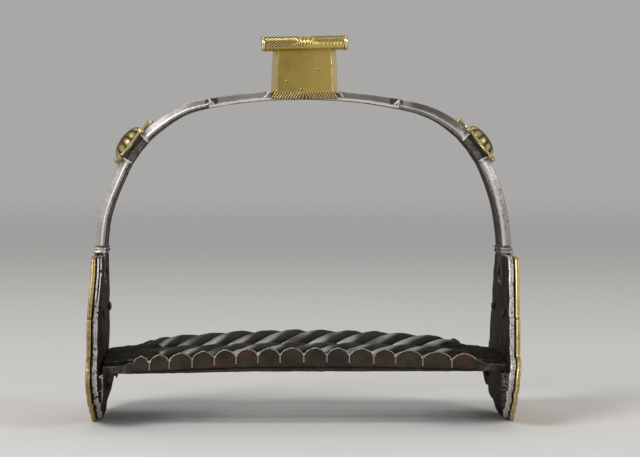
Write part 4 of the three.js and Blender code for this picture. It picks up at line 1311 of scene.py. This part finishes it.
def makeDome(side, form):
    rim, base = form["rim"], form["rimHeight"]
    profile = [(1.6, 0.15), (rim - 0.4, 0.05), (rim - 0.12, 0.15), (rim, 0.4), (rim, base - 0.35)]
    profile += [(rim - 0.15, base - 0.1), (rim - 0.45, base), (rim - 0.65, base - 0.15)]
    profile += [(rim - 0.8, base - 0.45), (rim - 0.95, base - 0.5), (rim - 1.0, base - 0.2)]
    for i in range(form["rings"] + 1):
        turn = radians(90 * i / form["rings"])
        out = (rim - 1.0) * cos(turn) ** 0.9
        profile.append((out, base + (form["rise"] - base) * sin(turn) ** 0.95))
    dome = turned("rosette_" + side + "Chased", profile, form["mill"] * 4)

    def lobeAt(co):
        turn = atan2(co.y, co.x) + pi / 2  # a lobe faces the front
        return abs(cos(form["lobes"] * turn / 2)) ** 0.6

    def millAt(co):
        return sin(form["mill"] * atan2(co.y, co.x))

    def height(co, normal):
        out = hypot(co.x, co.y)
        if out > rim - 0.5:
            return 0.15 * millAt(co) if 0.2 < co.z < base - 0.05 else 0.0
        if co.z > base - 0.3 and out < rim - 0.9:
            return (lobeAt(co) - 0.85) * form["depth"] * 1.6 * ease(out, 1.8, rim - 1.8)
        return 0.0

    # The rim is rubbed bright and the blunt outer ends of the lobes get painted highlights. Painted shade
    # darkens the dome's top, the groove inside the rim and the hollows between the lobes
    def wearAndLight(co, old):
        out = hypot(co.x, co.y)
        if out > rim - 0.6:
            return 0.7 + 0.3 * millAt(co) if co.z > 0.2 else 0.2
        if co.z < base - 0.3:
            return 0.0
        end = ease(out, rim - 2.6, rim - 1.7) * ease(lobeAt(co), 0.72, 0.95)
        return max(old * 0.2, end * 0.6)

    def paintedShade(co, old):
        out = hypot(co.x, co.y)
        top = 1 - ease(out, rim - 3.4, rim - 1.8)
        groove = 1.0 if out < rim - 0.6 and co.z < base - 0.15 else 0.0
        return max(old, groove, 0.45 * top, 0.9 - lobeAt(co) if out < rim - 0.9 else 0.0)

    relief(dome, height)
    markWearAndLight(dome, passes=3, common=60, marked=97)
    repaint(dome, "worn", wearAndLight)
    repaint(dome, "sunkAndShaded", paintedShade)
    return dome


# A faceted bud: narrow at its root, wide and cut to a point at its end
def makeBud(turn, form, upTurn):
    size = form["bud"]
    reach = {upTurn: form["topReach"], 180 - upTurn: form["lowReach"]}.get(turn, form["budReach"])
    root = {"vertices": 5, "radius": size * 0.36 * mm, "fill_type": "NGON"}
    bud = addShape(bpy.ops.mesh.primitive_circle_add, "bud", **root)
    edit(bud, "FACE")
    tip = 1.05 * size
    stem = max(reach - form["rim"] + 0.2 - tip, 0.4)
    for rise, grow in ((stem, 2.6), (0.6 * size, 1.12), (0.45 * size, 0.5)):
        extrude(0, 0, rise * mm)
        bpy.ops.transform.resize(value=(grow, grow, 1))
    closeUp()
    softenEdges(bud, width=0.1, turn=15)
    repaint(bud, "worn", lambda co, old: max(old, 0.25))
    droop = Matrix.Rotation(radians(form["droop"]), 4, "Y")
    lay = Matrix.Rotation(radians(90), 4, "Y") @ Matrix.Rotation(radians(36), 4, "Z")
    raised = form["budRaised"][turn == upTurn]
    place = Matrix.Translation(((reach - stem - tip) * mm, 0, raised * mm))
    bud.matrix_world = Matrix.Rotation(radians(turn), 4, "Z") @ place @ droop @ lay
    return bud


# The rivet through the rosette: a low button outside and a peened end inside the bow
def makeRosetteRivet(form):
    top, foot = form["rise"], -form["through"]
    profile = [(0, foot - 0.35), (1.0, foot - 0.25), (1.35, foot + 0.1), (1.1, foot + 0.3)]
    profile += [(1.1, top - 0.3), (1.5, top - 0.25), (1.3, top - 0.02), (0.8, top + 0.08), (0, top + 0.1)]
    rivet = turned("rivet", profile, 40)
    markWearAndLight(rivet)
    return rivet


def makeRosette(side, form):
    sign, upTurn = (-1, 0) if side == "left" else (1, 180)
    dome = makeDome(side, form)
    joinPieces([dome] + [makeBud(turn, form, upTurn) for turn in form["budTurns"]])
    bpy.ops.object.transform_apply()

    # The rim is beaten down over the edges of the bow
    def hug(co):
        return Vector((0, co.y * (form["widen"] - 1), -form["hug"] * ease(abs(co.y), 3.5, 7.2)))

    shift(dome, hug)
    joinPieces([dome, makeRosetteRivet(form)])
    out, up = form["seat"]
    seat = Vector((sign * out, 0, up))
    seat = (seat + dressSeats(seat, bowForm) + sagAt(seat, bowForm)) * mm
    slope = Matrix.Rotation(sign * radians(bowForm["seatSlope"]), 4, "Y")
    dome.matrix_world = Matrix.Translation(seat) @ slope
    nodes = ["rosette_" + side, "rosette_rivet_" + side]
    return finishPiece(dome, rosetteBrass, nodes, angle=40)


for side in ("left", "right"):
    makeRosette(side, rosetteForm)
print("rosettes made")

# The small fasteners keep their CAD shapes and get a finish of their own

fasteners = {"overlay_rivet": twistIron, "head_pin": headBrass}
for name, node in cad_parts.items():
    for start, finish in fasteners.items():
        if name.startswith(start):
            setMaterials(node, finish)
print("fasteners finished")
